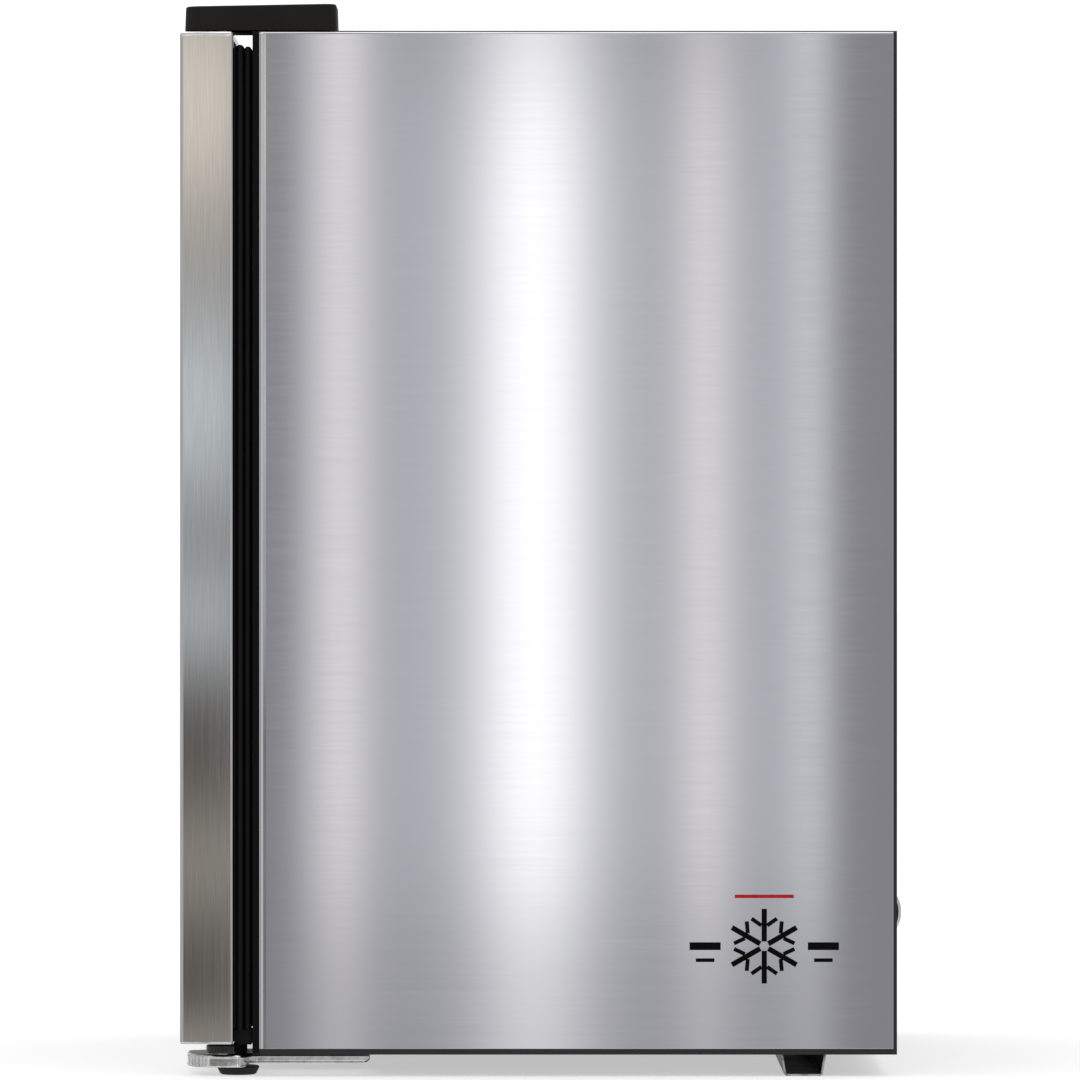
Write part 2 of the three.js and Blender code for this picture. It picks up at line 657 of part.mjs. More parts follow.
// A levelling foot: a moulded sole on a threaded stud.
function foot(at) {
  const { radius, sole, high, stud, top } = FEET;
  return turned(
    [
      [0, 0], [sole - 0.8, 0], [sole, 0.8], [radius, high - 1.2], [radius - 0.6, high], [stud + 2, high],
      [stud, high + 0.6], [stud, top - 1], [stud - 1, top], [0, top],
    ],
    at,
    24,
  );
}

// ---------- door ----------
// One side of the stainless frame: a folded sheet with mitred ends, turned round the door by quarters.
function framePiece(length, distance, quarter) {
  const t = DOOR.sheet;
  const bend = 2.2;
  const lip = 5;
  const section = new THREE.Shape();
  section.moveTo(lip, DOOR.thick);
  section.lineTo(0, DOOR.thick);
  section.lineTo(0, bend);
  section.absarc(bend, bend, bend, Math.PI, Math.PI * 1.5);
  section.lineTo(DOOR.face, 0);
  section.lineTo(DOOR.face, GLASS.front - GAP);
  section.lineTo(DOOR.face - t, GLASS.front - GAP);
  section.lineTo(DOOR.face - t, t);
  section.lineTo(bend, t);
  section.lineTo(t, bend);
  section.lineTo(t, DOOR.thick - t);
  section.lineTo(lip, DOOR.thick - t);
  const bar = extrude(section, length, 3).translate(0, 0, -length / 2);
  const places = bar.getAttribute("position");
  for (let i = 0; i < places.count; i += 1) {
    const along = places.getZ(i);
    places.setZ(i, along - Math.sign(along) * (places.getX(i) + GAP / 2));
  }
  return bar
    .rotateY(-Math.PI / 2)
    .translate(0, 0, -distance)
    .rotateY((quarter * Math.PI) / 2)
    .translate(0, FRONT, DOOR_MIDDLE);
}

const TOP_BUSH_HOLE = () => drill([PIVOT.x, PIVOT.y], BUSH + GAP, [656.5, 680]);
const BOTTOM_BUSH_HOLE = () => drill([PIVOT.x, PIVOT.y], BUSH + GAP, [10, 33.5]);
const GRIP_HOLE = () =>
  block(
    [-WIDTH / 2 - 1, -WIDTH / 2 + GRIP.deep + GAP],
    [FRONT + GRIP.front - GAP, FRONT + GRIP.back + GAP],
    [GRIP.bottom - GAP, GRIP.top + GAP],
  );

// The black plastic frame inside the stainless one. It holds the glass from behind and the gasket.
function innerFrame() {
  const t = DOOR.sheet + GAP;
  const back = DOOR.thick;
  const glassEdge = GLASS.edge - GAP;
  const section = [
    [t, t + 1.2], [t + 1.2, t], [glassEdge, t], [glassEdge, 31.8], [48, 31.8], [48, back - 0.8], [47, back],
    [17.2, back], [17.2, 28], [13.8, 28], [13.8, back], [5.6, back], [5.6, back - t], [t, back - t],
  ];
  const frame = ring(section, [-WIDTH / 2, WIDTH / 2], [DOOR.bottom, DOOR.top], FRONT);
  return cut(frame, TOP_BUSH_HOLE(), BOTTOM_BUSH_HOLE(), GRIP_HOLE());
}

const paneFront = (index) =>
  GLASS.front + GLASS.panes.slice(0, index).reduce((sum, thick) => sum + thick + GLASS.space, 0);

function pane(index) {
  const x = WIDTH / 2 - GLASS.edge;
  const y = FRONT + paneFront(index);
  const z = [DOOR.bottom + GLASS.edge, DOOR.top - GLASS.edge];
  return block([-x, x], [y, y + GLASS.panes[index]], z);
}

function glazingSpacer(index) {
  const front = paneFront(index) + GLASS.panes[index] + GAP;
  const section = [[0, 0], [8, 0], [8, GLASS.space - 2 * GAP], [0, GLASS.space - 2 * GAP]];
  const inset = GLASS.edge + 2;
  return ring(
    section,
    [-WIDTH / 2 + inset, WIDTH / 2 - inset],
    [DOOR.bottom + inset, DOOR.top - inset],
    FRONT + front,
  );
}

// The gasket: a barb in the frame's groove, one bellows fold, and the pocket that holds the magnet strip.
const GASKET_BACK = 46.1;
const MAGNET = { from: 13.5, to: 21.5, front: 43.2, back: 45 };

function gasket() {
  const foot = DOOR.thick + GAP;
  const section = [
    [9.5, foot], [9.8, 35.6], [8.2, 36.6], [7.5, 38.4], [8.0, 40.2], [9.4, 41.2], [10.6, 41.6], [9.4, 42.0],
    [8.7, 43.0], [8.7, 45.0], [9.2, 45.8], [10.2, GASKET_BACK], [21.6, GASKET_BACK], [22, 45.3],
    [MAGNET.from - GAP, 45.3], [MAGNET.from - GAP, 42.9], [22, 42.9], [22, 42.0], [20.6, 41.4], [22.6, 40.2],
    [23.2, 38.4], [22.4, 36.6], [21.2, 35.8], [24.5, 35.4], [24.5, foot], [16.8, foot], [16.8, 31],
    [16.2, 28.6], [14.8, 28.6], [14.2, 31], [14.2, foot],
  ];
  return ring(section, [-WIDTH / 2, WIDTH / 2], [DOOR.bottom, DOOR.top], FRONT);
}

function gasketMagnet() {
  const { from, to, front, back } = MAGNET;
  const section = [[from, front], [to, front], [to, back], [from, back]];
  return ring(section, [-WIDTH / 2, WIDTH / 2], [DOOR.bottom, DOOR.top], FRONT);
}

// The finger recess let into the free edge of the door.
function handleGrip() {
  const left = -WIDTH / 2;
  const { wall } = GRIP;
  const depth = [FRONT + GRIP.front, FRONT + GRIP.back];
  const outer = block([left, left + GRIP.deep], depth, [GRIP.bottom, GRIP.top]);
  const hollow = block(
    [left - 1, left + GRIP.deep - wall],
    [depth[0] + wall, depth[1] - wall],
    [GRIP.bottom + wall, GRIP.top - wall],
  );
  return cut(outer, hollow);
}

function bush(profile) {
  return turned([...profile, profile[0]], [PIVOT.x, PIVOT.y]);
}

// ---------- assembly ----------
place("side_panel_right", sidePanel(1), "side_steel");
place("side_panel_left", sidePanel(-1), "side_steel");
place("cabinet_shell", cabinetShell(), "black_steel");
place("insulation_foam", insulation(), "foam");
place("inner_liner", liner(), "liner");
place("front_frame", frontFrame(), "black_plastic");
place("back_panel", backPanel(), "black_steel");
place("compressor_bay_shield", bayShield(), "zinc");
place("base_plate", basePlate(), "black_steel");
place("compressor_tray", compressorTray(), "black_steel");
place("cord_gland", cordGland(), "black_plastic");

place("compressor", compressor(), "black_steel");
GROMMETS.forEach((at, i) => place(`compressor_grommet_${i + 1}`, grommet(at), "rubber"));
place("compressor_terminal_cover", terminalCover(), "black_plastic");
place("filter_drier", filterDrier(), "copper");
place("suction_tube", suctionTube(), "copper");
place("discharge_tube", dischargeTube(), "copper");
place("evaporation_tray", evaporationTray(), "white_plastic");
place("drain_tube", drainTube(), "white_plastic");
place("condenser_coil_right", condenserCoil(1), "copper");
place("condenser_coil_left", condenserCoil(-1), "copper");
place("evaporator_plate", evaporatorPlate(), "aluminium");

["lower", "middle", "upper"].forEach((name, i) =>
  place(`shelf_${name}`, shelf(SHELF.levels[i]), "chrome"),
);
place("thermostat_housing", thermostatHousing(), "white_plastic");
place("thermostat_switch", thermostatSwitch(), "white_plastic");
place("thermostat_knob", thermostatKnob(), "white_plastic");
place("light_switch", lightSwitch(), "black_plastic");
place("light_housing", lightHousing(), "aluminium");
place("light_lens", lightLens(), "lens");

place("top_hinge_plate", topHingePlate(), "zinc");
place("top_hinge_pin", topHingePin(), "zinc");
const plateSeat = TOP_PLATE.top + GAP;
HINGE_SCREWS.forEach((at, i) => place(`top_hinge_screw_${i + 1}`, screw(at, plateSeat, 662), "zinc"));
place("hinge_cover", hingeCover(), "black_plastic");
place("bottom_hinge_bracket", bottomHingeBracket(), "zinc");
place("bottom_hinge_pin", bottomHingePin(), "zinc");
const screwSeat = BRACKET.top - BRACKET.sheet - GAP;
BRACKET_SCREWS.forEach((at, i) => place(`bottom_hinge_screw_${i + 1}`, screw(at, screwSeat, 22), "zinc"));
place("front_foot_right", foot(RIGHT_FOOT), "rubber");
place("front_foot_left", foot(LEFT_FOOT), "rubber");

const bottomRail = framePiece(WIDTH, DOOR_HEIGHT / 2, 0);
const handleStile = framePiece(DOOR_HEIGHT, WIDTH / 2, 1);
const topRail = framePiece(WIDTH, DOOR_HEIGHT / 2, 2);
place("door_rail_bottom", cut(bottomRail, BOTTOM_BUSH_HOLE()), "door_steel", door);
place("door_stile_handle", cut(handleStile, GRIP_HOLE()), "door_steel", door);
place("door_rail_top", cut(topRail, TOP_BUSH_HOLE()), "door_steel", door);
place("door_stile_hinge", framePiece(DOOR_HEIGHT, WIDTH / 2, 3), "door_steel", door);
place("door_inner_frame", innerFrame(), "black_plastic", door);
["outer", "middle", "inner"].forEach((name, i) => place(`glass_${name}`, pane(i), "glass", door));
["front", "rear"].forEach((name, i) =>
  place(`glazing_spacer_${name}`, glazingSpacer(i), "aluminium", door),
);
place("door_gasket", gasket(), "rubber", door);
place("gasket_magnet", gasketMagnet(), "magnet", door);
place("handle_grip", handleGrip(), "black_plastic", door);
const topBushEnds = [DOOR.top - 12.5, DOOR.top - GAP];
const topBush = [
  [BORE, topBushEnds[0]], [BUSH, topBushEnds[0]], [BUSH, topBushEnds[1]], [BORE, topBushEnds[1]],
];
// The lower bush has a flange that the door's weight rests on.
const FLANGE = { radius: 11, bottom: 14.6, top: DOOR.bottom - 0.6 };
const bottomBushTop = DOOR.bottom + 12;
const bottomBush = [
  [BORE, FLANGE.bottom], [FLANGE.radius, FLANGE.bottom], [FLANGE.radius, FLANGE.top], [BUSH, FLANGE.top],
  [BUSH, bottomBushTop], [BORE, bottomBushTop],
];
place("door_bush_top", bush(topBush), "black_plastic", door);
place("door_bush_bottom", bush(bottomBush), "black_plastic", door);

export default root;
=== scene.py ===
"""The looks of a bar fridge with a framed glass door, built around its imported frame.

Metres, +Z up. The door faces -Y and is hinged on the +X side.
"""

import math

import bmesh
import bpy
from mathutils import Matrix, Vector


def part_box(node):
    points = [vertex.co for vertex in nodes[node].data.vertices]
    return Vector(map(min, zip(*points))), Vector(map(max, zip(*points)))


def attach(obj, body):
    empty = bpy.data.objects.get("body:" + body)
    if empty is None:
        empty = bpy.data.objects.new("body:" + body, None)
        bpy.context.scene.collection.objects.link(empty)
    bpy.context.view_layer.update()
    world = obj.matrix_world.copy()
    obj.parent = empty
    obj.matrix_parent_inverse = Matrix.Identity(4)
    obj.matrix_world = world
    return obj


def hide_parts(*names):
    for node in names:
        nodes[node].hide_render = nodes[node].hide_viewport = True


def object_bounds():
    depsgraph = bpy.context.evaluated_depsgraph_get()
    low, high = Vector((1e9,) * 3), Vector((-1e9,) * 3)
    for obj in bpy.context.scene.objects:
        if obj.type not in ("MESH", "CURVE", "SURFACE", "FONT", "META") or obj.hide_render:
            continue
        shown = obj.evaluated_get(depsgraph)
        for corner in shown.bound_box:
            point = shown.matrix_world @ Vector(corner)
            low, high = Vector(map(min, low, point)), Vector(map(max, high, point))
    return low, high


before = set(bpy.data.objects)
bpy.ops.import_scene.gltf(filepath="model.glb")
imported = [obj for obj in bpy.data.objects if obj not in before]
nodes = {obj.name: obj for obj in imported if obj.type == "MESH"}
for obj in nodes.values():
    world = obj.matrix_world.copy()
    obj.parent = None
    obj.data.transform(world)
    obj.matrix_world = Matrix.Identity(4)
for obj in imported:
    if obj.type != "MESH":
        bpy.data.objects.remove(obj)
cad_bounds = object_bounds()
MM = 0.001


# ---------- places read from the frame ----------
def middle_of(name):
    """The centre of a CAD node, seen from above."""
    low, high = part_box(name)
    return (low.x + high.x) / 2, (low.y + high.y) / 2


def limits(*names):
    """Lowest and highest corner around several CAD nodes."""
    boxes = [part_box(name) for name in names]
    low = Vector([min(b[0][i] for b in boxes) for i in range(3)])
    high = Vector([max(b[1][i] for b in boxes) for i in range(3)])
    return low, high


LEAVES = ("door_rail_bottom", "door_stile_handle", "door_rail_top", "door_stile_hinge")
DOOR_LOW, DOOR_HIGH = limits(*LEAVES)
DOOR_FRONT = DOOR_LOW.y
HALF_WIDTH = DOOR_HIGH.x
DOOR_THICK = DOOR_HIGH.y - DOOR_LOW.y
GLASS_LOW, GLASS_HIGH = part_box("glass_outer")
SIDE_LOW, SIDE_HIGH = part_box("side_panel_right")
LINER_LOW, LINER_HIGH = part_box("inner_liner")


# ---------- materials ----------
def add_node(tree, kind, inputs=None, **settings):
    """Adds a shader node. An input that is a socket is linked, and any other is a value."""
    made = tree.nodes.new(kind)
    for key, value in settings.items():
        setattr(made, key, value)
    for key, value in (inputs or {}).items():
        if isinstance(value, bpy.types.NodeSocket):
            tree.links.new(value, made.inputs[key])
        else:
            made.inputs[key].default_value = value
    return made


class Look:
    """A node material being put together."""

    def __init__(self, name, colour, roughness, metallic=0.0, **sockets):
        self.material = bpy.data.materials.new(name)
        self.material.use_nodes = True
        self.tree = self.material.node_tree
        self.shader = self.tree.nodes["Principled BSDF"]
        self.roughness = roughness
        self.set("Base Color", (*colour, 1.0))
        self.set("Roughness", roughness)
        self.set("Metallic", metallic)
        for socket, value in sockets.items():
            self.set(socket.replace("_", " "), value)

    def set(self, socket, value):
        self.shader.inputs[socket].default_value = value

    def node(self, kind, inputs=None, **settings):
        return add_node(self.tree, kind, inputs, **settings)

    def link(self, value, socket):
        self.tree.links.new(value, self.shader.inputs[socket])
        return self

    def place(self, stretch=(1, 1, 1)):
        """Object coordinates, scaled along each axis."""
        where = self.node("ShaderNodeTexCoord").outputs["Object"]
        return self.node("ShaderNodeMapping", {"Vector": where, "Scale": stretch}).outputs[0]

    def noise(self, scale, stretch=(1, 1, 1), detail=3.0, rough=0.5):
        inputs = {"Vector": self.place(stretch), "Scale": scale, "Detail": detail, "Roughness": rough}
        return self.node("ShaderNodeTexNoise", inputs).outputs["Fac"]

    def spread(self, value, low, high, start=0.25, end=0.75):
        inputs = {"Value": value, "From Min": start, "From Max": end, "To Min": low, "To Max": high}
        return self.node("ShaderNodeMapRange", inputs).outputs["Result"]

    def math(self, operation, a, b):
        return self.node("ShaderNodeMath", {0: a, 1: b}, operation=operation).outputs[0]

    def vary_roughness(self, value, amount):
        return self.link(self.spread(value, self.roughness - amount, self.roughness + amount), "Roughness")

    def vary_colour(self, value, dark, light, start=0.25, end=0.75):
        factor = self.spread(value, 0, 1, start, end)
        inputs = {"Factor": factor, "A": (*dark, 1), "B": (*light, 1)}
        mix = self.node("ShaderNodeMix", inputs, data_type="RGBA")
        return self.link(mix.outputs["Result"], "Base Color")

    def bump(self, height, distance):
        inputs = {"Height": height, "Distance": distance, "Strength": 1.0}
        return self.link(self.node("ShaderNodeBump", inputs).outputs[0], "Normal")


def shade(colour, factor):
    return tuple(min(1.0, c * factor) for c in colour)


def brushed_steel(name, colour, roughness, grain, anisotropy=0.0, turn=0.0, grit=0.03, lift=1.5e-6):
    """Steel with fine lines along one axis. The highlight spreads across the lines."""
    look = Look(name, colour, roughness, 1.0)
    stretch = {"x": (0.02, 1, 1), "y": (1, 0.02, 1), "z": (1, 1, 0.02)}[grain]
    lines = look.noise(1400, stretch, detail=4, rough=0.6)
    look.vary_colour(lines, shade(colour, 1 - grit * 2), shade(colour, 1 + grit * 2))
    look.vary_roughness(look.noise(420, stretch), roughness * 0.18)
    look.bump(lines, lift)
    if anisotropy:
        look.set("Anisotropic", anisotropy)
        look.set("Anisotropic Rotation", turn)
        tangent = look.node("ShaderNodeTangent", direction_type="RADIAL", axis="Z")
        look.link(tangent.outputs[0], "Tangent")
    return look.material


def painted(name, colour, roughness, peel=6e-6):
    """Paint on sheet metal: a faint orange peel and a little dust."""
    look = Look(name, colour, roughness, 0.0, Specular_IOR_Level=0.35, Coat_Weight=0.1, Coat_Roughness=0.2)
    look.vary_colour(look.noise(9, detail=6), colour, shade(colour, 1.25), 0.45, 0.8)
    look.vary_roughness(look.noise(14, detail=5), 0.04)
    return look.bump(look.noise(900, detail=2), peel).material


def moulded(name, colour, roughness, grain=900, depth=1.2e-5, flow=0.13, shine=0.3):
    """Moulded plastic with a fine spark-eroded grain, and faint flow marks in its colour."""
    look = Look(name, colour, roughness, Specular_IOR_Level=shine)
    look.vary_colour(look.noise(25, detail=5), shade(colour, 1 - flow), shade(colour, 1 + flow))
    look.vary_roughness(look.noise(60, detail=4), 0.06)
    return look.bump(look.noise(grain, detail=3, rough=0.7), depth).material


def plated(name, colour, roughness, mottle=0.2, scale=220):
    """Plated sheet: a mottled sheen with faint scratches."""
    look = Look(name, colour, roughness, 1.0)
    patches = look.noise(scale, detail=6, rough=0.75)
    look.vary_colour(patches, shade(colour, 1 - mottle), shade(colour, 1 + mottle * 0.4))
    look.vary_roughness(look.noise(scale * 2, detail=4), roughness * 0.35)
    return look.bump(look.noise(scale * 4, (1, 0.1, 1), detail=4), 2e-5).material


def drawn_metal(name, colour, roughness, tarnish):
    """Drawn tube or turned metal with darker tarnish in patches."""
    look = Look(name, colour, roughness, 1.0)
    look.vary_colour(look.noise(45, detail=6, rough=0.65), tarnish, colour, 0.35, 0.6)
    look.vary_roughness(look.noise(180, detail=4), roughness * 0.3)
    return look.bump(look.noise(1500, detail=2), 4e-6).material


def bare_edged_paint():
    """Black paint on a pressed channel, worn to bright metal on its sheared ends."""
    black = (0.012, 0.012, 0.013)
    look = Look("pressed_black", black, 0.42)
    normal = look.node("ShaderNodeNewGeometry").outputs["True Normal"]
    sideways = look.node("ShaderNodeSeparateXYZ", {0: normal}).outputs["X"]
    ends = look.spread(look.math("ABSOLUTE", sideways, 0.0), 0, 1, 0.9, 0.98)
    broken = look.spread(look.noise(260, detail=5), 0.25, 1, 0.3, 0.5)
    bare = look.math("MULTIPLY", ends, broken)
    look.vary_colour(bare, black, (0.55, 0.54, 0.52), 0, 1)
    look.link(bare, "Metallic")
    look.vary_roughness(look.noise(40, detail=5), 0.08)
    return look.bump(look.noise(700), 1e-5).material


def glass_look(name, colour):
    look = Look(name, colour, 0.01, 0.0, Transmission_Weight=1.0, IOR=1.45)
    smears = look.noise(5, (1, 1, 0.4), detail=7, rough=0.7)
    return look.link(look.spread(smears, 0.0, 0.025, 0.5, 0.8), "Roughness").material


def ink(name, colour):
    """Screen-printed ink, slightly uneven."""
    look = Look(name, colour, 0.5, Specular_IOR_Level=0.04)
    look.vary_colour(look.noise(300, detail=5), colour, shade(colour, 1.6), 0.4, 0.9)
    return look.vary_roughness(look.noise(500), 0.05).material


def foam_look():
    look = Look("foam", (0.72, 0.6, 0.3), 0.9)
    cells = look.node("ShaderNodeTexVoronoi", {"Vector": look.place(), "Scale": 700.0}).outputs["Distance"]
    look.vary_colour(look.noise(30, detail=6), (0.6, 0.47, 0.2), (0.8, 0.68, 0.38))
    return look.bump(cells, 3e-4).material


def lamp_look():
    look = Look("lamp_lens", (0.9, 0.93, 1.0), 0.4, Emission_Strength=3.0, Emission_Color=(0.9, 0.95, 1, 1))
    ribs = look.node("ShaderNodeTexWave", {"Vector": look.place(), "Scale": 160.0}).outputs["Fac"]
    return look.bump(ribs, 2e-4).material


STEEL = (0.63, 0.63, 0.65)
WARM_STEEL = (0.62, 0.61, 0.6)
BLACK = (0.0045, 0.0044, 0.004)
LOOKS = {
    "side_steel": brushed_steel("side_steel", STEEL, 0.1, "y", 0.9, 0.25, grit=0.006, lift=1.5e-7),
    "door_steel_z": brushed_steel("door_steel_upright", WARM_STEEL, 0.08, "z", grit=0.05, lift=6e-7),
    "door_steel_x": brushed_steel("door_steel_level", WARM_STEEL, 0.11, "x"),
    # The folds' steel is the door's steel made much brighter: a painted highlight along the folded edges.
    "fold_steel_painted_highlight": brushed_steel("fold_steel_painted_highlight", (0.92, 0.91, 0.9), 0.22, "y"),
    "black_steel": painted("black_steel", (0.012, 0.012, 0.013), 0.38),
    "pressed_black": bare_edged_paint(),
    "black_plastic": moulded("black_plastic", BLACK, 0.45, shine=0.2),
    "bush_plastic": moulded("bush_plastic", BLACK, 0.16, shine=0.5),
    "frame_plastic": moulded("frame_plastic", (0.003, 0.003, 0.003), 0.5, shine=0.08),
    "cap_plastic": moulded("cap_plastic", (0.0075, 0.0068, 0.0055), 0.5, 420, 6e-5, flow=0.3, shine=0.14),
    "gasket": moulded("gasket", (0.003, 0.003, 0.0032), 0.5, 300, 2e-5, shine=0.2),
    "rubber": moulded("rubber", (0.012, 0.012, 0.012), 0.7, 500, 3e-5),
    "zinc": plated("zinc", (0.84, 0.83, 0.8), 0.15, 0.55, 120),
    "galvanised": plated("galvanised", (0.56, 0.57, 0.58), 0.4, 0.3, 70),
    "liner": moulded("liner", (0.76, 0.78, 0.8), 0.35, 500, 1.5e-5, flow=0.015),
    "white_plastic": moulded("white_plastic", (0.78, 0.78, 0.77), 0.45, flow=0.02),
    "foam": foam_look(),
    "glass": glass_look("glass", (0.93, 0.97, 0.96)),
    "tinted_glass": glass_look("tinted_glass", (0.86, 0.9, 0.9)),
    "aluminium": plated("aluminium", (0.8, 0.81, 0.82), 0.35, 0.06, 300),
    "copper": drawn_metal("copper", (0.78, 0.38, 0.22), 0.28, (0.3, 0.13, 0.08)),
    "chrome": drawn_metal("chrome", (0.85, 0.86, 0.88), 0.1, (0.7, 0.71, 0.73)),
    "magnet": moulded("magnet", (0.02, 0.02, 0.02), 0.8),
    "lens": lamp_look(),
    "frit": ink("frit", (0.004, 0.004, 0.004)),
    "ink_black": ink("ink_black", (0.002, 0.002, 0.002)),
    "ink_red": ink("ink_red", (0.3, 0.01, 0.012)),
}


# ---------- mesh helpers ----------
def turns_of(count):
    """Angles spread evenly round a circle."""
    return [2 * math.pi * k / count for k in range(count)]


def arc(centre, radius, start, end, steps=6):
    """Points on a circle, angles in degrees."""
    turns = [math.radians(start + (end - start) * i / steps) for i in range(steps + 1)]
    return [(centre[0] + radius * math.cos(a), centre[1] + radius * math.sin(a)) for a in turns]


def thicken(path, thickness):
    """A closed outline: an open path and the same path moved sideways by the thickness."""
    shifted = []
    for i, point in enumerate(path):
        before = Vector(path[max(i - 1, 0)])
        after = Vector(path[min(i + 1, len(path) - 1)])
        along = (after - before).normalized()
        shifted.append((point[0] - along.y * thickness, point[1] + along.x * thickness))
    return list(path) + shifted[::-1]


def loft(bm, rings, loop=False, open_ring=False):
    """Joins rings of points, each of the same length, into a skin, closed at its ends unless it loops."""
    made = [[bm.verts.new(p) for p in ring] for ring in rings]
    pairs = list(zip(made, made[1:])) + ([(made[-1], made[0])] if loop else [])
    count = len(made[0])
    for a, b in pairs:
        for i in range(count - 1 if open_ring else count):
            j = (i + 1) % count
            bm.faces.new((a[i], a[j], b[j], b[i]))
    if not loop:
        bm.faces.new(made[0][::-1])
        bm.faces.new(made[-1])
    return made


def lofted(rings, **how):
    """A bmesh that holds one loft."""
    bm = bmesh.new()
    loft(bm, rings, **how)
    return bm


def tube(bm, points, radius, sides=12, loop=False):
    """A round tube through points, with its rings carried along without twist."""
    path = [Vector(p) for p in points]
    count = len(path)
    rings = []
    normal = None
    for i, here in enumerate(path):
        before = path[i - 1] if loop or i > 0 else here
        after = path[(i + 1) % count] if loop or i < count - 1 else here
        along = (after - before).normalized()
        if normal is None:
            normal = along.orthogonal().normalized()
        normal = (normal - along * normal.dot(along)).normalized()
        across = along.cross(normal)
        spokes = [normal * math.cos(a) + across * math.sin(a) for a in turns_of(sides)]
        rings.append([here + spoke * radius for spoke in spokes])
    loft(bm, rings, loop=loop)


def tubed(points, radius, sides):
    """A bmesh that holds one tube."""
    bm = bmesh.new()
    tube(bm, points, radius, sides)
    return bm


def bent(corners, bend, steps=6, loop=False):
    """Corner points turned into a path with round bends."""
    points = [Vector(c) for c in corners]
    count = len(points)
    path = [] if loop else [points[0]]
    for i in range(count) if loop else range(1, count - 1):
        before = points[i - 1] - points[i]
        after = points[(i + 1) % count] - points[i]
        reach = min(bend, before.length * 0.48, after.length * 0.48)
        start = points[i] + before.normalized() * reach
        end = points[i] + after.normalized() * reach
        for step in range(steps + 1):
            t = step / steps
            path.append(start * (1 - t) ** 2 + points[i] * (2 * t * (1 - t)) + end * t**2)
    return path if loop else path + [points[-1]]


def lathe(profile, centre, segments=48):
    """Level rings on an upright axis, one for each (radius, z) of a profile."""
    x, y = centre
    turns = turns_of(segments)
    return [[(x + r * math.cos(a), y + r * math.sin(a), z) for a in turns] for r, z in profile]


def fill_grid(bm, grid):
    """Faces between the rows of a grid of vertices."""
    for row, above in zip(grid, grid[1:]):
        for i in range(len(row) - 1):
            bm.faces.new((row[i], row[i + 1], above[i + 1], above[i]))


def grid_rim(grid):
    """The vertices round the edge of a grid, in order."""
    last = grid[-1]
    return grid[0] + [row[-1] for row in grid[1:]] + last[-2::-1] + [row[0] for row in grid[-2:0:-1]]


def slab(bm, low, high):
    corners = [(low[0], low[1]), (high[0], low[1]), (high[0], high[1]), (low[0], high[1])]
    loft(bm, [[(x, y, z) for x, y in corners] for z in (low[2], high[2])])


def even_normals(made):
    """Keeps big flat faces flat to the light where they run into a small rounding."""
    weighted = made.modifiers.new("even_normals", "WEIGHTED_NORMAL")
    weighted.keep_sharp = True
    return made


def smooth_faces(mesh, angle=35):
    """Smooth shading, with edges sharper than the angle kept sharp."""
    mesh.polygons.foreach_set("use_smooth", [True] * len(mesh.polygons))
    mesh.set_sharp_from_angle(angle=math.radians(angle))


def finish_mesh(name, bm, look, smooth=35):
    """Turns a bmesh into a named object with its look."""
    bmesh.ops.remove_doubles(bm, verts=bm.verts, dist=1e-7)
    bmesh.ops.recalc_face_normals(bm, faces=bm.faces)
    mesh = bpy.data.meshes.new(name)
    bm.to_mesh(mesh)
    bm.free()
    smooth_faces(mesh, smooth)
    mesh.materials.append(LOOKS[look])
    made = bpy.data.objects.new(name, mesh)
    bpy.context.scene.collection.objects.link(made)
    return even_normals(made)


def bevel(made, width):
    """Rounds the sharp edges."""
    edge = made.modifiers.new("rounded_edges", "BEVEL")
    edge.width = width
    edge.segments = 3
    edge.limit_method = "ANGLE"
    edge.angle_limit = math.radians(30)
    edge.harden_normals = True
    return made


def backed(made, thickness):
    """Gives a skin its thickness, behind its face."""
    sheet = made.modifiers.new("sheet", "SOLIDIFY")
    sheet.thickness = thickness
    sheet.offset = -1
    return made


def bake_modifiers(made):
    """Puts an object's modifiers into its mesh."""
    evaluated = made.evaluated_get(bpy.context.evaluated_depsgraph_get())
    mesh = bpy.data.meshes.new_from_object(evaluated)
    made.modifiers.clear()
    made.data = mesh
    return made


def carve(made, cutter):
    """Cuts a closed mesh out of an object."""
    cut = made.modifiers.new("carve", "BOOLEAN")
    cut.operation = "DIFFERENCE"
    cut.solver = "EXACT"
    cut.object = cutter
    bpy.context.view_layer.update()
    bake_modifiers(made)
    bpy.data.objects.remove(cutter)
    smooth_faces(made.data)
    even_normals(made)


def put(made, body, slot, *stands_for):
    """Puts a finished piece on its body, and hides the CAD nodes that it stands for. The slot is not used.
    """
    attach(made, body)
    if stands_for:
        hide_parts(*stands_for)


def piece(name, bm, look, body, slot, *stands_for, smooth=35):
    """Finishes a bmesh and puts it on its body."""
    put(finish_mesh(name, bm, look, smooth), body, slot, *stands_for)


def dress(name, look, width):
    """Gives a CAD node its material and rounded edges."""
    node = nodes[name]
    node.data.materials.clear()
    node.data.materials.append(LOOKS[look])
    smooth_faces(node.data)
    if width:
        bevel(node, width)


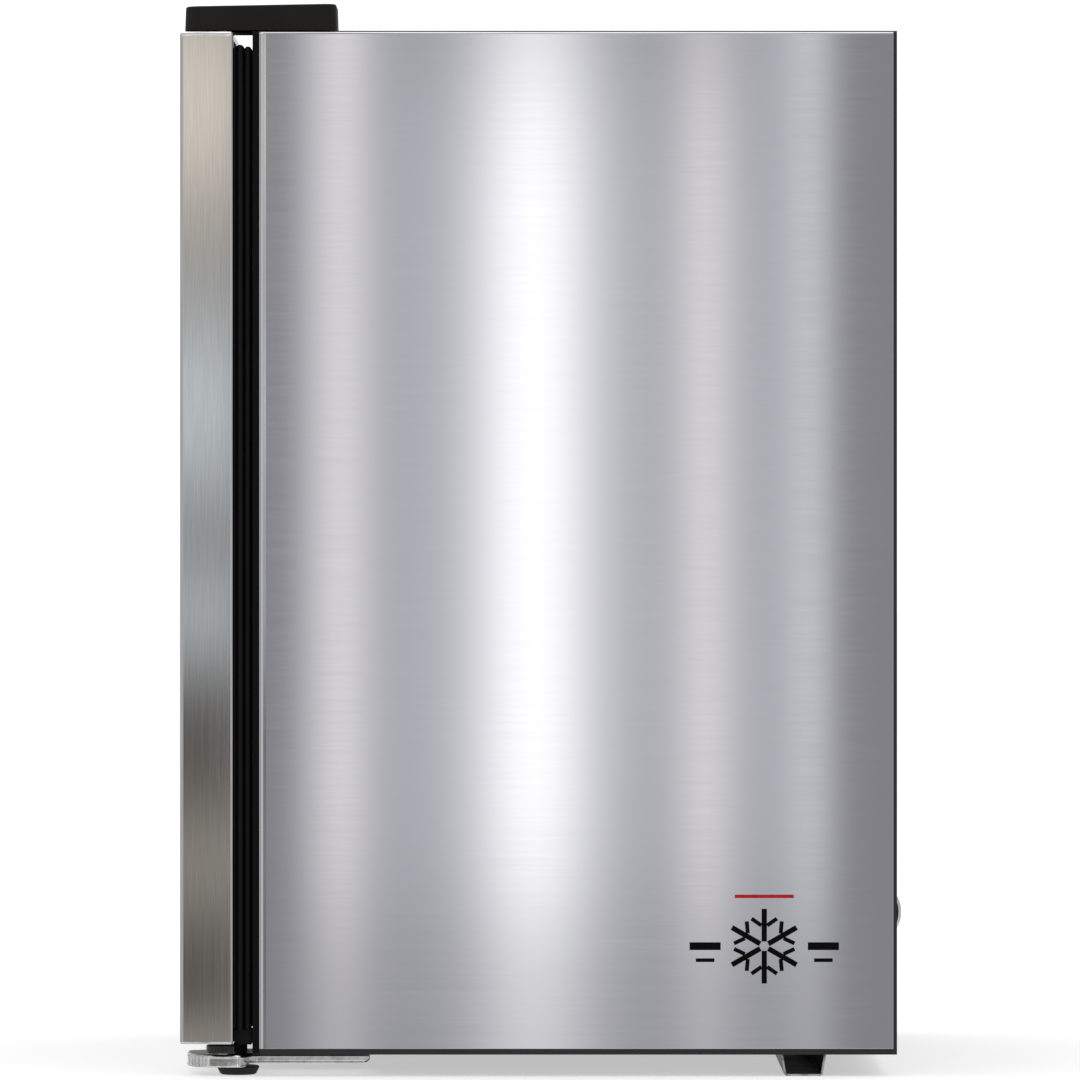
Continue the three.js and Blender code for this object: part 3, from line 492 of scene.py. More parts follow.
# ---------- side panels ----------
def side_panel(side):
    """A flat sheet whose front edge is folded round, and whose top edge is just broken."""
    name = "right" if side > 0 else "left"
    low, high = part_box(f"side_panel_{name}")
    depth = high.x - low.x
    front_fold, top_fold = 4.6 * MM, 1.6 * MM
    fold = [1 - math.cos(math.radians(a)) for a in (90, 75, 60, 45, 30, 15, 0)]
    ys = [low.y + front_fold * f for f in fold[::-1]] + [high.y - 0.3 * MM, high.y]
    zs = [low.z, low.z + 0.3 * MM] + [high.z - top_fold * f for f in fold]

    def drop(y, z):
        over_front = max(0.0, 1 - (y - low.y) / front_fold)
        over_top = max(0.0, 1 - (high.z - z) / top_fold)
        edge = 0.2 * MM if y > high.y - 0.1 * MM or z < low.z + 0.1 * MM else 0.0
        round_over = 1 - math.sqrt(max(0.0, 1 - min(1.0, over_front**2 + over_top**2)))
        return max(edge, (depth - 0.1 * MM) * round_over)

    outer = HALF_WIDTH if side > 0 else -HALF_WIDTH
    inner = outer - side * depth
    bm = bmesh.new()
    skin = [[bm.verts.new((outer - side * drop(y, z), y, z)) for y in ys] for z in zs]
    back = [[bm.verts.new((inner, y, z)) for y in ys] for z in zs]
    for grid in (skin, back):
        fill_grid(bm, grid)
    a, b = grid_rim(skin), grid_rim(back)
    for i in range(len(a)):
        j = (i + 1) % len(a)
        bm.faces.new((a[i], a[j], b[j], b[i]))
    piece(f"side_skin_{name}", bm, "side_steel", "cabinet", "side_steel", f"side_panel_{name}", smooth=40)


def bar_outline(centre, angle, start, end, width):
    """A bar that points away from a centre."""
    along = Vector((math.cos(angle), math.sin(angle)))
    across = Vector((-along.y, along.x)) * width / 2
    middle = Vector(centre)
    return [
        tuple(middle + along * start - across),
        tuple(middle + along * end - across),
        tuple(middle + along * end + across),
        tuple(middle + along * start + across),
    ]


def printed(name, look, side, bars):
    """Thin printed bars on a side panel: root and angle, then start, end and width in millimetres."""
    bm = bmesh.new()
    for root, angle, *sizes in bars:
        outline = bar_outline(root, angle, *[size * MM for size in sizes])
        loft(bm, [[(side * (HALF_WIDTH + d), y, z) for y, z in outline] for d in (-0.1 * MM, 0.06 * MM)])
    piece(name, bm, look, "cabinet", "black_plastic")


def side_mark(side):
    """A generic frost mark, low at the back of each side panel."""
    name = "right" if side > 0 else "left"
    y, z = SIDE_HIGH.y - 83 * MM, SIDE_LOW.z + 66 * MM
    bars = []
    for arm in range(6):
        angle = math.radians(90 + 60 * arm)
        bars.append(((y, z), angle, 3, 24, 3.4))
        fork = (y + 12 * MM * math.cos(angle), z + 12 * MM * math.sin(angle))
        bars += [(fork, angle + branch * math.radians(55), 2.2, 10, 2.6) for branch in (-1, 1)]
    for end in (y - 38 * MM, y + 38 * MM):
        bars += [((end, z), 0, -10, 10, 5), ((end, z - 9 * MM), 0, -6, 6, 2.4)]
    printed(f"side_mark_{name}", "ink_black", side, bars)
    printed(f"side_mark_line_{name}", "ink_red", side, [((y, z + 32 * MM), 0, -19, 19, 2.2)])


# ---------- door ----------
def door_section():
    """The folded sheet of the door's edge: (inward, backward) from its outer front corner."""
    face = GLASS_LOW.x + HALF_WIDTH + 11.7 * MM
    back = DOOR_THICK
    path = [(5 * MM, back)]
    path += arc((1.6 * MM, back - 1.6 * MM), 1.6 * MM, 90, 180)
    path += arc((2.4 * MM, 2.4 * MM), 2.4 * MM, 180, 270)
    path += arc((face - 1.3 * MM, 1.3 * MM), 1.3 * MM, 270, 360)
    path += [(face, 4.1 * MM)]
    return thicken(path, 0.9 * MM)


def door_leaf(index):
    """One mitred side of the stainless door frame, counted clockwise from the bottom one."""
    middle, half = (DOOR_LOW + DOOR_HIGH) / 2, (DOOR_HIGH - DOOR_LOW) / 2
    upright = index % 2 == 1
    reach, length = (half.x, half.z) if upright else (half.z, half.x)
    sign = -1 if index < 2 else 1
    seam = 0.12 * MM
    rings = []
    for end in (-1, 1):
        ring = []
        for u, v in door_section():
            along, out = end * (length - u - seam), sign * (reach - u)
            x, z = (out, along) if upright else (along, out)
            ring.append((middle.x + x, DOOR_FRONT + v, middle.z + z))
        rings.append(ring)
    name = LEAVES[index].split("_")[-1]
    return finish_mesh(f"door_leaf_{name}", lofted(rings), "door_steel_z" if upright else "door_steel_x")


def door_frame():
    """The four leaves. The handle's recess is cut out of the one beside it."""
    leaves = [door_leaf(index) for index in range(len(LEAVES))]
    low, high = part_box("handle_grip")
    room = Vector((0.25 * MM, 0.25 * MM, 0.25 * MM))
    bm = bmesh.new()
    slab(bm, low - room - Vector((5 * MM, 0, 0)), high + room)
    carve(leaves[1], finish_mesh("cutter", bm, "black_plastic"))
    for leaf, node in zip(leaves, LEAVES):
        put(leaf, "door", "door_steel", node)


def corner_folds():
    """The edges of the top and bottom leaves, hammered over the door's sides in an uneven rolled lip. Their
    steel is the door's steel made much brighter: a painted highlight.
    """
    profile = [
        (-0.6, 0.0), (0.1, 0.08), (0.5, 0.02), (0.8, -0.16), (1.0, -0.4), (1.05, -0.7), (0.9, -0.92),
        (0.5, -1.0), (-0.6, -1.0),
    ]
    steps, margin = 40, 1.2 * MM
    for side, side_name in ((1, "right"), (-1, "left")):
        for end, end_name, height in ((1, "top", 2.5 * MM), (-1, "bottom", 1.1 * MM)):
            base = (DOOR_HIGH.z if end > 0 else DOOR_LOW.z) - end * 0.05 * MM
            rings = []
            for i in range(steps + 1):
                t = i / steps
                y = DOOR_FRONT + margin + t * (DOOR_THICK - 2 * margin)
                reach = height * (1 + 0.16 * math.sin(9 * t + 0.6) + 0.1 * math.sin(23 * t))
                bulge = 0.42 * height * (0.8 + 0.2 * math.sin(7 * t + 2))
                ring = [(side * (HALF_WIDTH + u * bulge), y, base + end * v * reach) for u, v in profile]
                rings.append(ring)
            name = f"door_fold_{side_name}_{end_name}"
            # The brighter steel on the folds is a painted highlight.
            piece(name, lofted(rings), "fold_steel_painted_highlight", "door", "door_steel", smooth=60)


def door_round(section, low, high, front):
    """A section of (inward, backward) points, carried round a rectangle that stands in the door."""
    middle, half = (low + high) / 2, (high - low) / 2
    corners = [(-1, -1), (1, -1), (1, 1), (-1, 1)]
    return [
        [(middle.x + sx * (half.x - u), front + v, middle.z + sz * (half.z - u)) for u, v in section]
        for sx, sz in corners
    ]


def gasket():
    """A bellows gasket: two soft lobes round the door."""
    foot = DOOR_THICK / MM + 0.25
    tip = (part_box("door_gasket")[1].y - DOOR_FRONT) / MM
    outer_foot_lobe = arc((10.6, foot + 3.8), 2.9, 240, 125, 8)
    outer_tip_lobe = arc((11.2, tip - 2.6), 2.5, 235, 95, 8)
    inner_foot_lobe = arc((20.6, foot + 3.8), 2.8, 50, -60, 6)
    section = [(9.2, foot), (9.6, foot + 0.9), *outer_foot_lobe, (10.4, foot + 7.0), *outer_tip_lobe]
    section += [(21.4, tip), (22.3, tip - 1), (22.3, tip - 3.6), (20.8, foot + 7.0), *inner_foot_lobe]
    section += [(24.3, foot + 0.9), (24.3, foot)]
    rings = door_round([(u * MM, v * MM) for u, v in section], DOOR_LOW, DOOR_HIGH, DOOR_FRONT)
    piece("gasket_bellows", lofted(rings, loop=True), "gasket", "door", "rubber", "door_gasket", smooth=50)


def glass_border():
    """The black border fired on the back of the outer pane."""
    inset, width, thick = 0.3 * MM, 17 * MM, 0.15 * MM
    section = [(inset, 0.0), (width, 0.0), (width, thick), (inset, thick)]
    rings = door_round(section, GLASS_LOW, GLASS_HIGH, GLASS_HIGH.y + 0.02 * MM)
    piece("glass_border", lofted(rings, loop=True), "frit", "door", "black_plastic")


def grip_ribs():
    """Finger ribs in the handle recess."""
    low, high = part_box("handle_grip")
    bm = bmesh.new()
    floor = high.x - 2 * MM
    z = low.z + 8 * MM
    while z < high.z - 8 * MM:
        tube(bm, [(floor, low.y + 4 * MM, z), (floor, high.y - 4 * MM, z)], 0.8 * MM, 8)
        z += 5 * MM
    piece("grip_ribs", bm, "black_plastic", "door", "black_plastic")


def door_bush():
    """The lower bush, with a round flange that the door rests on."""
    low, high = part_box("door_bush_bottom")
    reach = (high.y - low.y) / 2
    top, bore, neck = DOOR_LOW.z - 0.5 * MM, 4.3 * MM, 5.8 * MM
    profile = [
        (bore, low.z), (reach - 0.8 * MM, low.z), (reach, low.z + 0.8 * MM), (reach, top - 1.2 * MM),
        (reach - 1.2 * MM, top), (neck, top), (neck, high.z), (bore, high.z),
    ]
    bm = lofted(lathe(profile, middle_of("door_bush_bottom")), loop=True)
    piece("door_bush_flanged", bm, "bush_plastic", "door", "black_plastic", "door_bush_bottom")


def hinge_lug():
    """The moulded lug behind the door's lower corner, which fills the gap under the gasket."""
    cabinet_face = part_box("front_frame")[0].y
    stud_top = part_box("front_foot_right")[1].z
    low = (HALF_WIDTH - 26 * MM, DOOR_HIGH.y, stud_top + 0.4 * MM)
    high = (HALF_WIDTH - 12 * MM, cabinet_face - 0.9 * MM, DOOR_LOW.z + 9 * MM)
    bm = bmesh.new()
    slab(bm, low, high)
    lug = bake_modifiers(bevel(finish_mesh("hinge_lug", bm, "cap_plastic"), 0.5 * MM))
    put(lug, "door", "black_plastic")


# ---------- hinges and feet ----------
def rounded_rectangle(low, high, radius, steps=8):
    corners = [
        ((high[0] - radius, high[1] - radius), 0),
        ((low[0] + radius, high[1] - radius), 90),
        ((low[0] + radius, low[1] + radius), 180),
        ((high[0] - radius, low[1] + radius), 270),
    ]
    return [p for centre, start in corners for p in arc(centre, radius, start, start + 90, steps)]


def hinge_cap():
    """The moulded cap over the top hinge, with a soft upper edge and a slightly rising top."""
    low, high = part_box("hinge_cover")
    rise, draft, fillet, corner = 1.8 * MM, 0.5 * MM, 1.4 * MM, 8 * MM
    rim, dish = 3 * MM, 0.35 * MM

    def ring(inset, drop=None):
        """The outline at an inset: at the foot, or at a drop below the sloping top."""
        outline = rounded_rectangle(
            (low.x + inset, low.y + inset), (high.x - inset, high.y - inset), corner - inset * 0.7
        )
        if drop is None:
            return [(x, y, low.z) for x, y in outline]
        slope = rise / (high.y - low.y)
        return [(x, y, high.z - slope * (high.y - y) - drop) for x, y in outline]

    rings = [ring(0.0)]
    for angle in (0, 18, 36, 54, 72, 90):
        a = math.radians(angle)
        rings.append(ring(draft + fillet * (1 - math.cos(a)), fillet * (1 - math.sin(a))))
    rings += [ring(draft + fillet + rim, 0.0), ring(draft + fillet + rim * 1.2, dish)]
    piece("hinge_cap", lofted(rings), "cap_plastic", "cabinet", "black_plastic", "hinge_cover", smooth=30)


BRACKET_END = 4 * MM


def bezier(start, first, second, end, steps=10):
    """Points along a cubic curve, without its start."""
    points = []
    for i in range(1, steps + 1):
        t = i / steps
        u = 1 - t
        point = Vector(start) * u**3 + Vector(first) * 3 * u * u * t + Vector(second) * 3 * u * t * t
        points.append(tuple(point + Vector(end) * t**3))
    return points


def bracket_outline(low, high):
    """The plate from above: a wide front arm, an S-shaped jog, and a narrow rear arm with a round end."""
    inner, outer, front, rear = low.x, high.x, low.y, high.y
    shoulder, jog = front + 33.5 * MM, outer - 15 * MM
    points = [(inner, rear), (inner, shoulder), (inner + 16 * MM, front), (inner + 26 * MM, front)]
    points += bezier(points[-1], (outer - 13 * MM, front), (outer, front + 5 * MM), (outer, front + 17 * MM))
    points.append((outer, shoulder))
    handles = (outer, shoulder + 8 * MM), (jog, shoulder + 4 * MM)
    points += bezier(points[-1], *handles, (jog, shoulder + 13 * MM))
    return points + arc((jog - BRACKET_END, rear - BRACKET_END), BRACKET_END, 0, 90)


def bracket_section(low, high, here):
    """The bracket's sheet at one place of its outline: (inward, z) points, from the top to the underside."""
    sheet, roll, edge, wall, land = 2.8 * MM, 2.2 * MM, 0.6 * MM, 2.4 * MM, 3.4 * MM
    under = high.z - sheet
    plain = here[0] < low.x + 14 * MM
    rear = here[1] > low.y + 40 * MM
    bottom = under if plain else low.z + (1.7 * MM if rear else 0.0)
    if not plain:
        past = max(0.0, here[1] - (high.y - BRACKET_END)) / BRACKET_END
        bottom += 3.2 * MM * (1 - math.sqrt(max(0.0, 1 - past**2)))
    face_top, face_bottom = high.z - roll, bottom + edge
    dish = min(0.45 * MM, max(0.0, face_top - face_bottom) * 0.2)
    section = [(land, high.z)]
    section += [(a, face_top + b) for a, b in arc((roll, 0), roll, 90, 180, 5)]
    section += [(dish, face_top - 1.2 * dish), (dish, face_bottom + 1.2 * dish)]
    section += [(a, face_bottom + b) for a, b in arc((edge, 0), edge, 180, 270, 3)]
    return section + [(wall - edge, bottom), (wall, min(bottom + edge, under)), (land, under)]


def bracket_pressing():
    """The pressed lower bracket: rolled upper edges, and a flange along its front and outer sides."""
    low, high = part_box("bottom_hinge_bracket")
    outline = [Vector(point) for point in bracket_outline(low, high)]
    rings = []
    for before, here, after in zip(outline[-1:] + outline, outline, outline[1:] + outline[:1]):
        onward = (after - here).normalized()
        along = ((here - before).normalized() + onward).normalized()
        inward = Vector((-along.y, along.x)) / max(0.5, along.dot(onward))
        section = bracket_section(low, high, here)
        rings.append([(here.x + inward.x * a, here.y + inward.y * a, z) for a, z in section])
    bm = bmesh.new()
    made = loft(bm, rings, loop=True, open_ring=True)
    bm.faces.new([ring[0] for ring in made])
    bm.faces.new([ring[-1] for ring in made][::-1])
    piece("bracket_pressing", bm, "zinc", "cabinet", "zinc", "bottom_hinge_bracket", smooth=40)


def levelling_foot(side):
    """A knurled sole on a stud."""
    name, body = f"front_foot_{side}", f"foot_{side}_body"
    low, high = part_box(name)
    x, y = middle_of(name)
    radius = (high.x - low.x) / 2
    sole, rim = radius - 1.9 * MM, low.z + 5.5 * MM
    profile = [
        (0.0, low.z), (sole - 1 * MM, low.z), (sole, low.z + 0.8 * MM), (radius - 0.3 * MM, rim - 1.6 * MM),
        (radius, rim - 0.9 * MM), (radius - 0.6 * MM, rim), (6 * MM, rim),
    ]
    knurled = (2, 3, 4)
    rings = []
    for index, (reach, z) in enumerate(profile):
        ring = []
        for k, a in enumerate(turns_of(96)):
            r = reach - (0.35 * MM if k % 4 == 0 and index in knurled else 0.0)
            ring.append((x + r * math.cos(a), y + r * math.sin(a), z))
        rings.append(ring)
    piece(f"foot_sole_{side}", lofted(rings), "rubber", body, "rubber", name, smooth=40)
    crest, root, pitch = 3.9 * MM, 3.3 * MM, 1.0 * MM
    thread = [(0.0, rim - pitch), (crest, rim - pitch)]
    z = rim
    while z < high.z - pitch:
        thread += [(crest, z), (root, z + pitch / 2)]
        z += pitch
    thread += [(3.2 * MM, high.z), (0.0, high.z)]
    piece(f"foot_stud_{side}", lofted(lathe(thread, (x, y), 32)), "zinc", body, "zinc", smooth=20)


def foot_nut():
    """The black lock nut of the right foot, on the hinge bracket."""
    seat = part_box("bottom_hinge_bracket")[1].z + 0.05 * MM
    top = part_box("front_foot_right")[1].z - 0.2 * MM
    bore, reach, edge = 4.15 * MM, 5.9 * MM, 0.5 * MM
    profile = [(bore, seat), (reach, seat), (reach, top - edge), (reach - edge, top), (bore, top)]
    bm = lofted(lathe(profile, middle_of("front_foot_right")), loop=True)
    piece("foot_nut", bm, "cap_plastic", "cabinet", "black_plastic")


def screw_head(bm, centre, normal, radius=3.6 * MM, height=1.6 * MM):
    """A domed head with a cross recess."""
    centre, normal = Vector(centre), Vector(normal)
    across = normal.orthogonal().normalized()
    other = normal.cross(across)
    profile = [(1.0, 0.0), (1.0, 0.35), (0.86, 0.75), (0.55, 1.0), (0.3, 1.0), (0.24, 0.45)]
    recess = 0.35
    rings = []
    for part, rise in profile:
        ring = []
        for k, a in enumerate(turns_of(24)):
            cross = 1.0 if part > recess else 1.25 if k % 6 == 0 else 0.8
            offset = (across * math.cos(a) + other * math.sin(a)) * radius * part * cross
            ring.append(centre + offset + normal * height * rise)
        rings.append(ring)
    loft(bm, rings)


def back_screws():
    low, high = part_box("back_panel")
    left, right = low.x + 12 * MM, high.x - 12 * MM
    third = (high.z - low.z) / 3
    places = [(x, z) for x in (left, 0.0, right) for z in (low.z + 10 * MM, high.z - 10 * MM)]
    places += [(x, low.z + third * part) for x in (left, right) for part in (1, 2)]
    bm = bmesh.new()
    for x, z in places:
        screw_head(bm, (x, high.y, z), (0, 1, 0), height=1.2 * MM)
    piece("back_screws", bm, "zinc", "cabinet", "zinc", smooth=40)


# ---------- back and machinery ----------
def back_sheet():
    """The painted back, pressed with shallow ribs that stiffen it."""
    low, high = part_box("back_panel")
    ribs, depth, margin, sheet = 6, 2.6 * MM, 34 * MM, 0.7 * MM
    pitch = (high.x - low.x - 2 * margin) / ribs
    xs = [low.x, low.x + 2 * MM]
    for rib in range(ribs):
        xs += [low.x + margin + (rib + f) * pitch for f in (0.18, 0.24, 0.3, 0.7, 0.76, 0.82)]
    xs += [high.x - 2 * MM, high.x]
    from_edge = [0, 22 * MM, 30 * MM, 36 * MM]
    zs = [low.z + d for d in from_edge] + [high.z - d for d in from_edge[::-1]]

    def raised(x, z):
        place = (x - low.x - margin) / pitch
        if not 0 <= place <= ribs:
            return 0.0
        part = place - math.floor(place)
        side = max(0.0, min(1.0, (0.5 - abs(part - 0.5) - 0.19) / 0.1))
        end = max(0.0, min(1.0, (min(z - low.z, high.z - z) - 23 * MM) / (12 * MM)))
        return depth * min(side, end)

    bm = bmesh.new()
    fill_grid(bm, [[bm.verts.new((x, high.y + raised(x, z), z)) for x in xs] for z in zs])
    made = finish_mesh("back_sheet", bm, "black_steel", 50)
    bake_modifiers(backed(made, sheet))
    put(made, "cabinet", "black_steel", "back_panel")


def compressor():
    """A welded steel pot, longer than it is deep, on a leg plate with four screwed feet."""
    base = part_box("compressor")[0].z
    x, y = middle_of("compressor")
    lengthen = 1.2
    profile = [
        (0, 3), (38, 3), (46, 5), (51, 10), (54, 17), (55.6, 25), (56, 34), (56, 65), (57, 66.2), (59, 66.8),
        (59, 72.2), (57, 72.8), (56, 74), (55.8, 88), (54.5, 101), (51, 111), (45, 118.5), (36, 124),
        (24, 127.8), (11, 129.6), (0, 130),
    ]
    round_rings = lathe([(r * MM, base + z * MM) for r, z in profile], (0, 0), 72)
    rings = [[(x + lengthen * px, y + py, z) for px, py, z in ring] for ring in round_rings]
    piece("compressor_pot", lofted(rings), "black_steel", "cabinet", "black_steel", "compressor", smooth=40)
    bm = bmesh.new()
    for sx in (-1, 1):
        for sy in (-1, 1):
            compressor_foot(bm, (x + sx * 70 * MM, y + sy * 48 * MM), sx, sy, base)
    piece("compressor_legs", bm, "black_steel", "cabinet", "black_steel")


def compressor_foot(bm, where, sx, sy, base):
    """A round pad with its screw, and the two strips of the leg plate that reach it."""
    x, y = where
    thick = 3.4 * MM
    loft(bm, lathe([(12 * MM, base), (12 * MM, base + thick)], where, 24))
    strips = (
        ((x - 10 * MM, y - sy * 34 * MM, base + 0.4 * MM), (x + 10 * MM, y + sy * 4 * MM, base + 3.0 * MM)),
        ((x, y, base + 0.6 * MM), (x - sx * 30 * MM, y - sy * 20 * MM, base + 2.8 * MM)),
    )
    for strip in strips:
        slab(bm, [min(ends) for ends in zip(*strip)], [max(ends) for ends in zip(*strip)])
    screw_head(bm, (x, y, base + thick), (0, 0, 1), 5 * MM, 3 * MM)


TUBE_RADIUS = 3 * MM


def cooling_tubes():
    """The copper lines in the compressor bay, on the routes of their solids."""
    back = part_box("suction_tube")[1].y - TUBE_RADIUS
    suction = [
        (0.034, 0.209, 0.084), (0.040, 0.222, 0.084), (0.048, back, 0.090), (0.048, back, 0.113),
        (0.060, 0.2195, 0.128), (0.060, 0.2195, 0.414), (0.060, 0.1805, 0.414),
    ]
    bm = tubed(bent(suction, 9 * MM), TUBE_RADIUS, 16)
    piece("suction_line", bm, "copper", "cabinet", "copper", "suction_tube")
    discharge = [
        (0.0625, 0.150, 0.074), (0.092, 0.150, 0.074), (0.092, 0.110, 0.052), (0.190, 0.110, 0.052),
        (0.190, 0.110, 0.1855),
    ]
    bm = tubed(bent(discharge, 14 * MM), TUBE_RADIUS, 16)
    piece("discharge_line", bm, "copper", "cabinet", "copper", "discharge_tube")


def filter_drier():
    """The drier, swaged down to a thin neck, and the coiled capillary that leaves it."""
    low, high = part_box("filter_drier")
    x, y = middle_of("filter_drier")
    radius = (high.x - low.x) / 2
    profile = [(0, low.z), (2.6 * MM, low.z), (3 * MM, low.z + 6 * MM)]
    profile += [(radius * f, low.z + h * MM) for f, h in ((0.6, 9), (0.88, 12), (1, 16))]
    profile += [(radius * f, high.z - h * MM) for f, h in ((1, 18), (0.9, 14), (0.5, 11))]
    profile += [(1.6 * MM, high.z - 6 * MM), (1.4 * MM, high.z), (0, high.z)]
    bm = lofted(lathe(profile, (x, y), 32))
    piece("drier", bm, "copper", "cabinet", "copper", "filter_drier", smooth=40)
    coil_radius, steps, coils, climb = 14 * MM, 24, 3, 2.4 * MM
    coil = [(x, y, high.z - 1 * MM)]
    for k in range(steps * coils + 1):
        a = 2 * math.pi * k / steps
        z = high.z + 4 * MM + climb * k / steps
        coil.append((x - coil_radius + coil_radius * math.cos(a), y + coil_radius * math.sin(a), z))
    piece("capillary", tubed(coil, 1.0 * MM, 8), "copper", "cabinet", "copper")


def condenser_outlet():
    """The steel line from the condenser to the drier. It bows out to the rearmost point of the fridge."""
    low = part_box("filter_drier")[0]
    drier = Vector((*middle_of("filter_drier"), low.z))
    radius = 1.8 * MM
    side, back = SIDE_HIGH.x - 27 * MM, cad_bounds[1][1] - radius
    route = [
        drier + Vector((0, 0, 2 * MM)), drier - Vector((0, 0, 12 * MM)),
        (side - 26 * MM, back - 24 * MM, low.z + 14 * MM), (side, back, low.z + 44 * MM),
        (side, back, low.z + 58 * MM), (side + 6 * MM, back - 26 * MM, low.z + 84 * MM),
        (side + 6 * MM, back - 40 * MM, low.z + 131 * MM),
    ]
    bm = tubed(bent(route, 24 * MM, 8), radius, 12)
    piece("condenser_outlet_line", bm, "chrome", "cabinet", "galvanised")


# ---------- inside ----------
STEP_TOP = 228 * MM
RAIL_FRONT, RAIL_LENGTH = -150 * MM, 310 * MM
SHELVES = ("lower", "middle", "upper")


def liner_skin():
    """The vacuum-formed liner, with soft inner corners and a raised step over the compressor."""
    wall = 1.5 * MM
    low, high = LINER_LOW + Vector((wall, 0, wall)), LINER_HIGH - Vector((wall, wall, wall))
    front = LINER_LOW.y + 0.1 * MM
    step_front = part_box("compressor_bay_shield")[0].y - 40 * MM
    radius = 12 * MM

    def path(inset):
        top, bottom, rear = high.z - inset, low.z + inset, high.y - inset
        step_y, step_z = step_front - inset, STEP_TOP + inset
        corners = [(front, top), (rear, top), (rear, step_z)]
        corners += [(step_y, step_z), (step_y, bottom), (front, bottom)]
        points = [corners[0]]
        for before, here, after in zip(corners, corners[1:], corners[2:]):
            points += [tuple(p) for p in bent([before, here, after], radius, 6)[1:-1]]
        return points + [corners[-1]]

    rings = []
    for angle in (90, 72, 54, 36, 18, 0):
        a = math.radians(angle)
        x = low.x + radius * (1 - math.sin(a))
        rings.append([(x, y, z) for y, z in path(radius * (1 - math.cos(a)))])
    rings += [[(-x, y, z) for x, y, z in ring] for ring in rings[::-1]]
    bm = bmesh.new()
    loft(bm, rings, open_ring=True)
    skin = backed(finish_mesh("liner_shell", bm, "liner", 50), wall - 0.1 * MM)
    put(skin, "cabinet", "liner", "inner_liner")


def shelf_rails():
    """Moulded ledges on the liner's side walls, tapered at their ends."""
    chamfer = 1.5 * MM
    bm = bmesh.new()
    for level in SHELVES:
        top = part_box(f"shelf_{level}")[0].z - 0.25 * MM
        for side in (-1, 1):
            wall, tip = side * (LINER_HIGH.x - 1.4 * MM), side * (LINER_HIGH.x - 9.4 * MM)
            shoulder = tip + side * chamfer
            section = [(wall, top), (shoulder, top), (tip, top - chamfer)]
            section += [(tip, top - 3.5 * MM), (shoulder, top - 5 * MM), (wall, top - 7 * MM)]
            rings = []
            for along, width in ((0.0, 0.4), (4 * MM, 1.0), (RAIL_LENGTH - 4 * MM, 1.0), (RAIL_LENGTH, 0.4)):
                rings.append([(wall + (x - wall) * width, RAIL_FRONT + along, z) for x, z in section])
            loft(bm, rings)
    piece("liner_rails", bm, "liner", "cabinet", "liner", smooth=40)


def wire_shelf(level):
    """A chromed wire shelf: a bent frame, close wires, and two bars under them."""
    low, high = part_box(f"shelf_{level}")
    frame_radius, wire_radius, bar_radius = 2.4 * MM, 1.45 * MM, 1.7 * MM
    wires, spread, lift = 15, 348 * MM, 0.6 * MM
    z = (low.z + high.z) / 2
    in_x, front, rear = high.x - frame_radius, low.y + frame_radius, high.y - frame_radius
    outline = [(-in_x, front, z), (in_x, front, z), (in_x, rear, z), (-in_x, rear, z)]
    bm = bmesh.new()
    tube(bm, bent(outline, 14 * MM, 8, loop=True), frame_radius, 12, loop=True)
    for i in range(wires):
        x = spread * ((i + 1) / (wires + 1) - 0.5)
        tube(bm, [(x, front, z + lift), (x, rear, z + lift)], wire_radius, 10)
    for y in (front + 100 * MM, rear - 100 * MM):
        tube(bm, [(-in_x, y, z - lift), (in_x, y, z - lift)], bar_radius, 10)
    piece(f"shelf_wires_{level}", bm, "chrome", f"shelf_{level}_body", "chrome_wire", f"shelf_{level}")


def knob():
    """The thermostat knob, with a fluted grip and a red pointer."""
    low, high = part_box("thermostat_knob")
    x, z = (low.x + high.x) / 2, (low.z + high.z) / 2
    radius = (high.x - low.x) / 2
    grip = (4, 5)
    profile = [
        (3.4 * MM, 0), (radius, 0), (radius, 2.4 * MM), (radius - 0.8 * MM, 3.4 * MM),
        (radius - 1.6 * MM, 13 * MM), (radius - 2.6 * MM, 14 * MM), (0, 14 * MM),
    ]
    rings = []
    for index, (reach, depth) in enumerate(profile):
        ring = []
        for a in turns_of(72):
            r = reach - (0.45 * MM * (1 + math.cos(12 * a)) if index in grip else 0.0)
            ring.append((x + r * math.cos(a), high.y - depth, z + r * math.sin(a)))
        rings.append(ring)
    bm = bmesh.new()
    loft(bm, rings)
    slab(bm, (x - 2 * MM, low.y, z - 9.5 * MM), (x + 2 * MM, high.y - 13 * MM, z + 9.5 * MM))
    piece("knob_grip", bm, "white_plastic", "knob_body", "white_plastic", "thermostat_knob")
    bm = bmesh.new()
    slab(bm, (x - 0.7 * MM, low.y - 0.15 * MM, z + 3 * MM), (x + 0.7 * MM, low.y + 1 * MM, z + 9 * MM))
    piece("knob_pointer", bm, "ink_red", "knob_body", "white_plastic")


def dial_marks():
    """Plain ticks round the knob, growing longer over its 290 degrees of turn."""
    low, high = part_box("thermostat_knob")
    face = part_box("thermostat_housing")[0].y
    centre = ((low.x + high.x) / 2, (low.z + high.z) / 2)
    ticks, sweep, start, end = 8, 290, 13.3 * MM, 13.7 * MM
    bm = bmesh.new()
    for i in range(ticks):
        part = i / (ticks - 1)
        angle = math.radians(90 - part * sweep)
        outline = bar_outline(centre, angle, start, end + 0.9 * MM * part, 0.8 * MM)
        loft(bm, [[(x, y, z) for x, z in outline] for y in (face + 0.1 * MM, face - 0.06 * MM)])
    piece("dial_ticks", bm, "ink_black", "cabinet", "black_plastic")


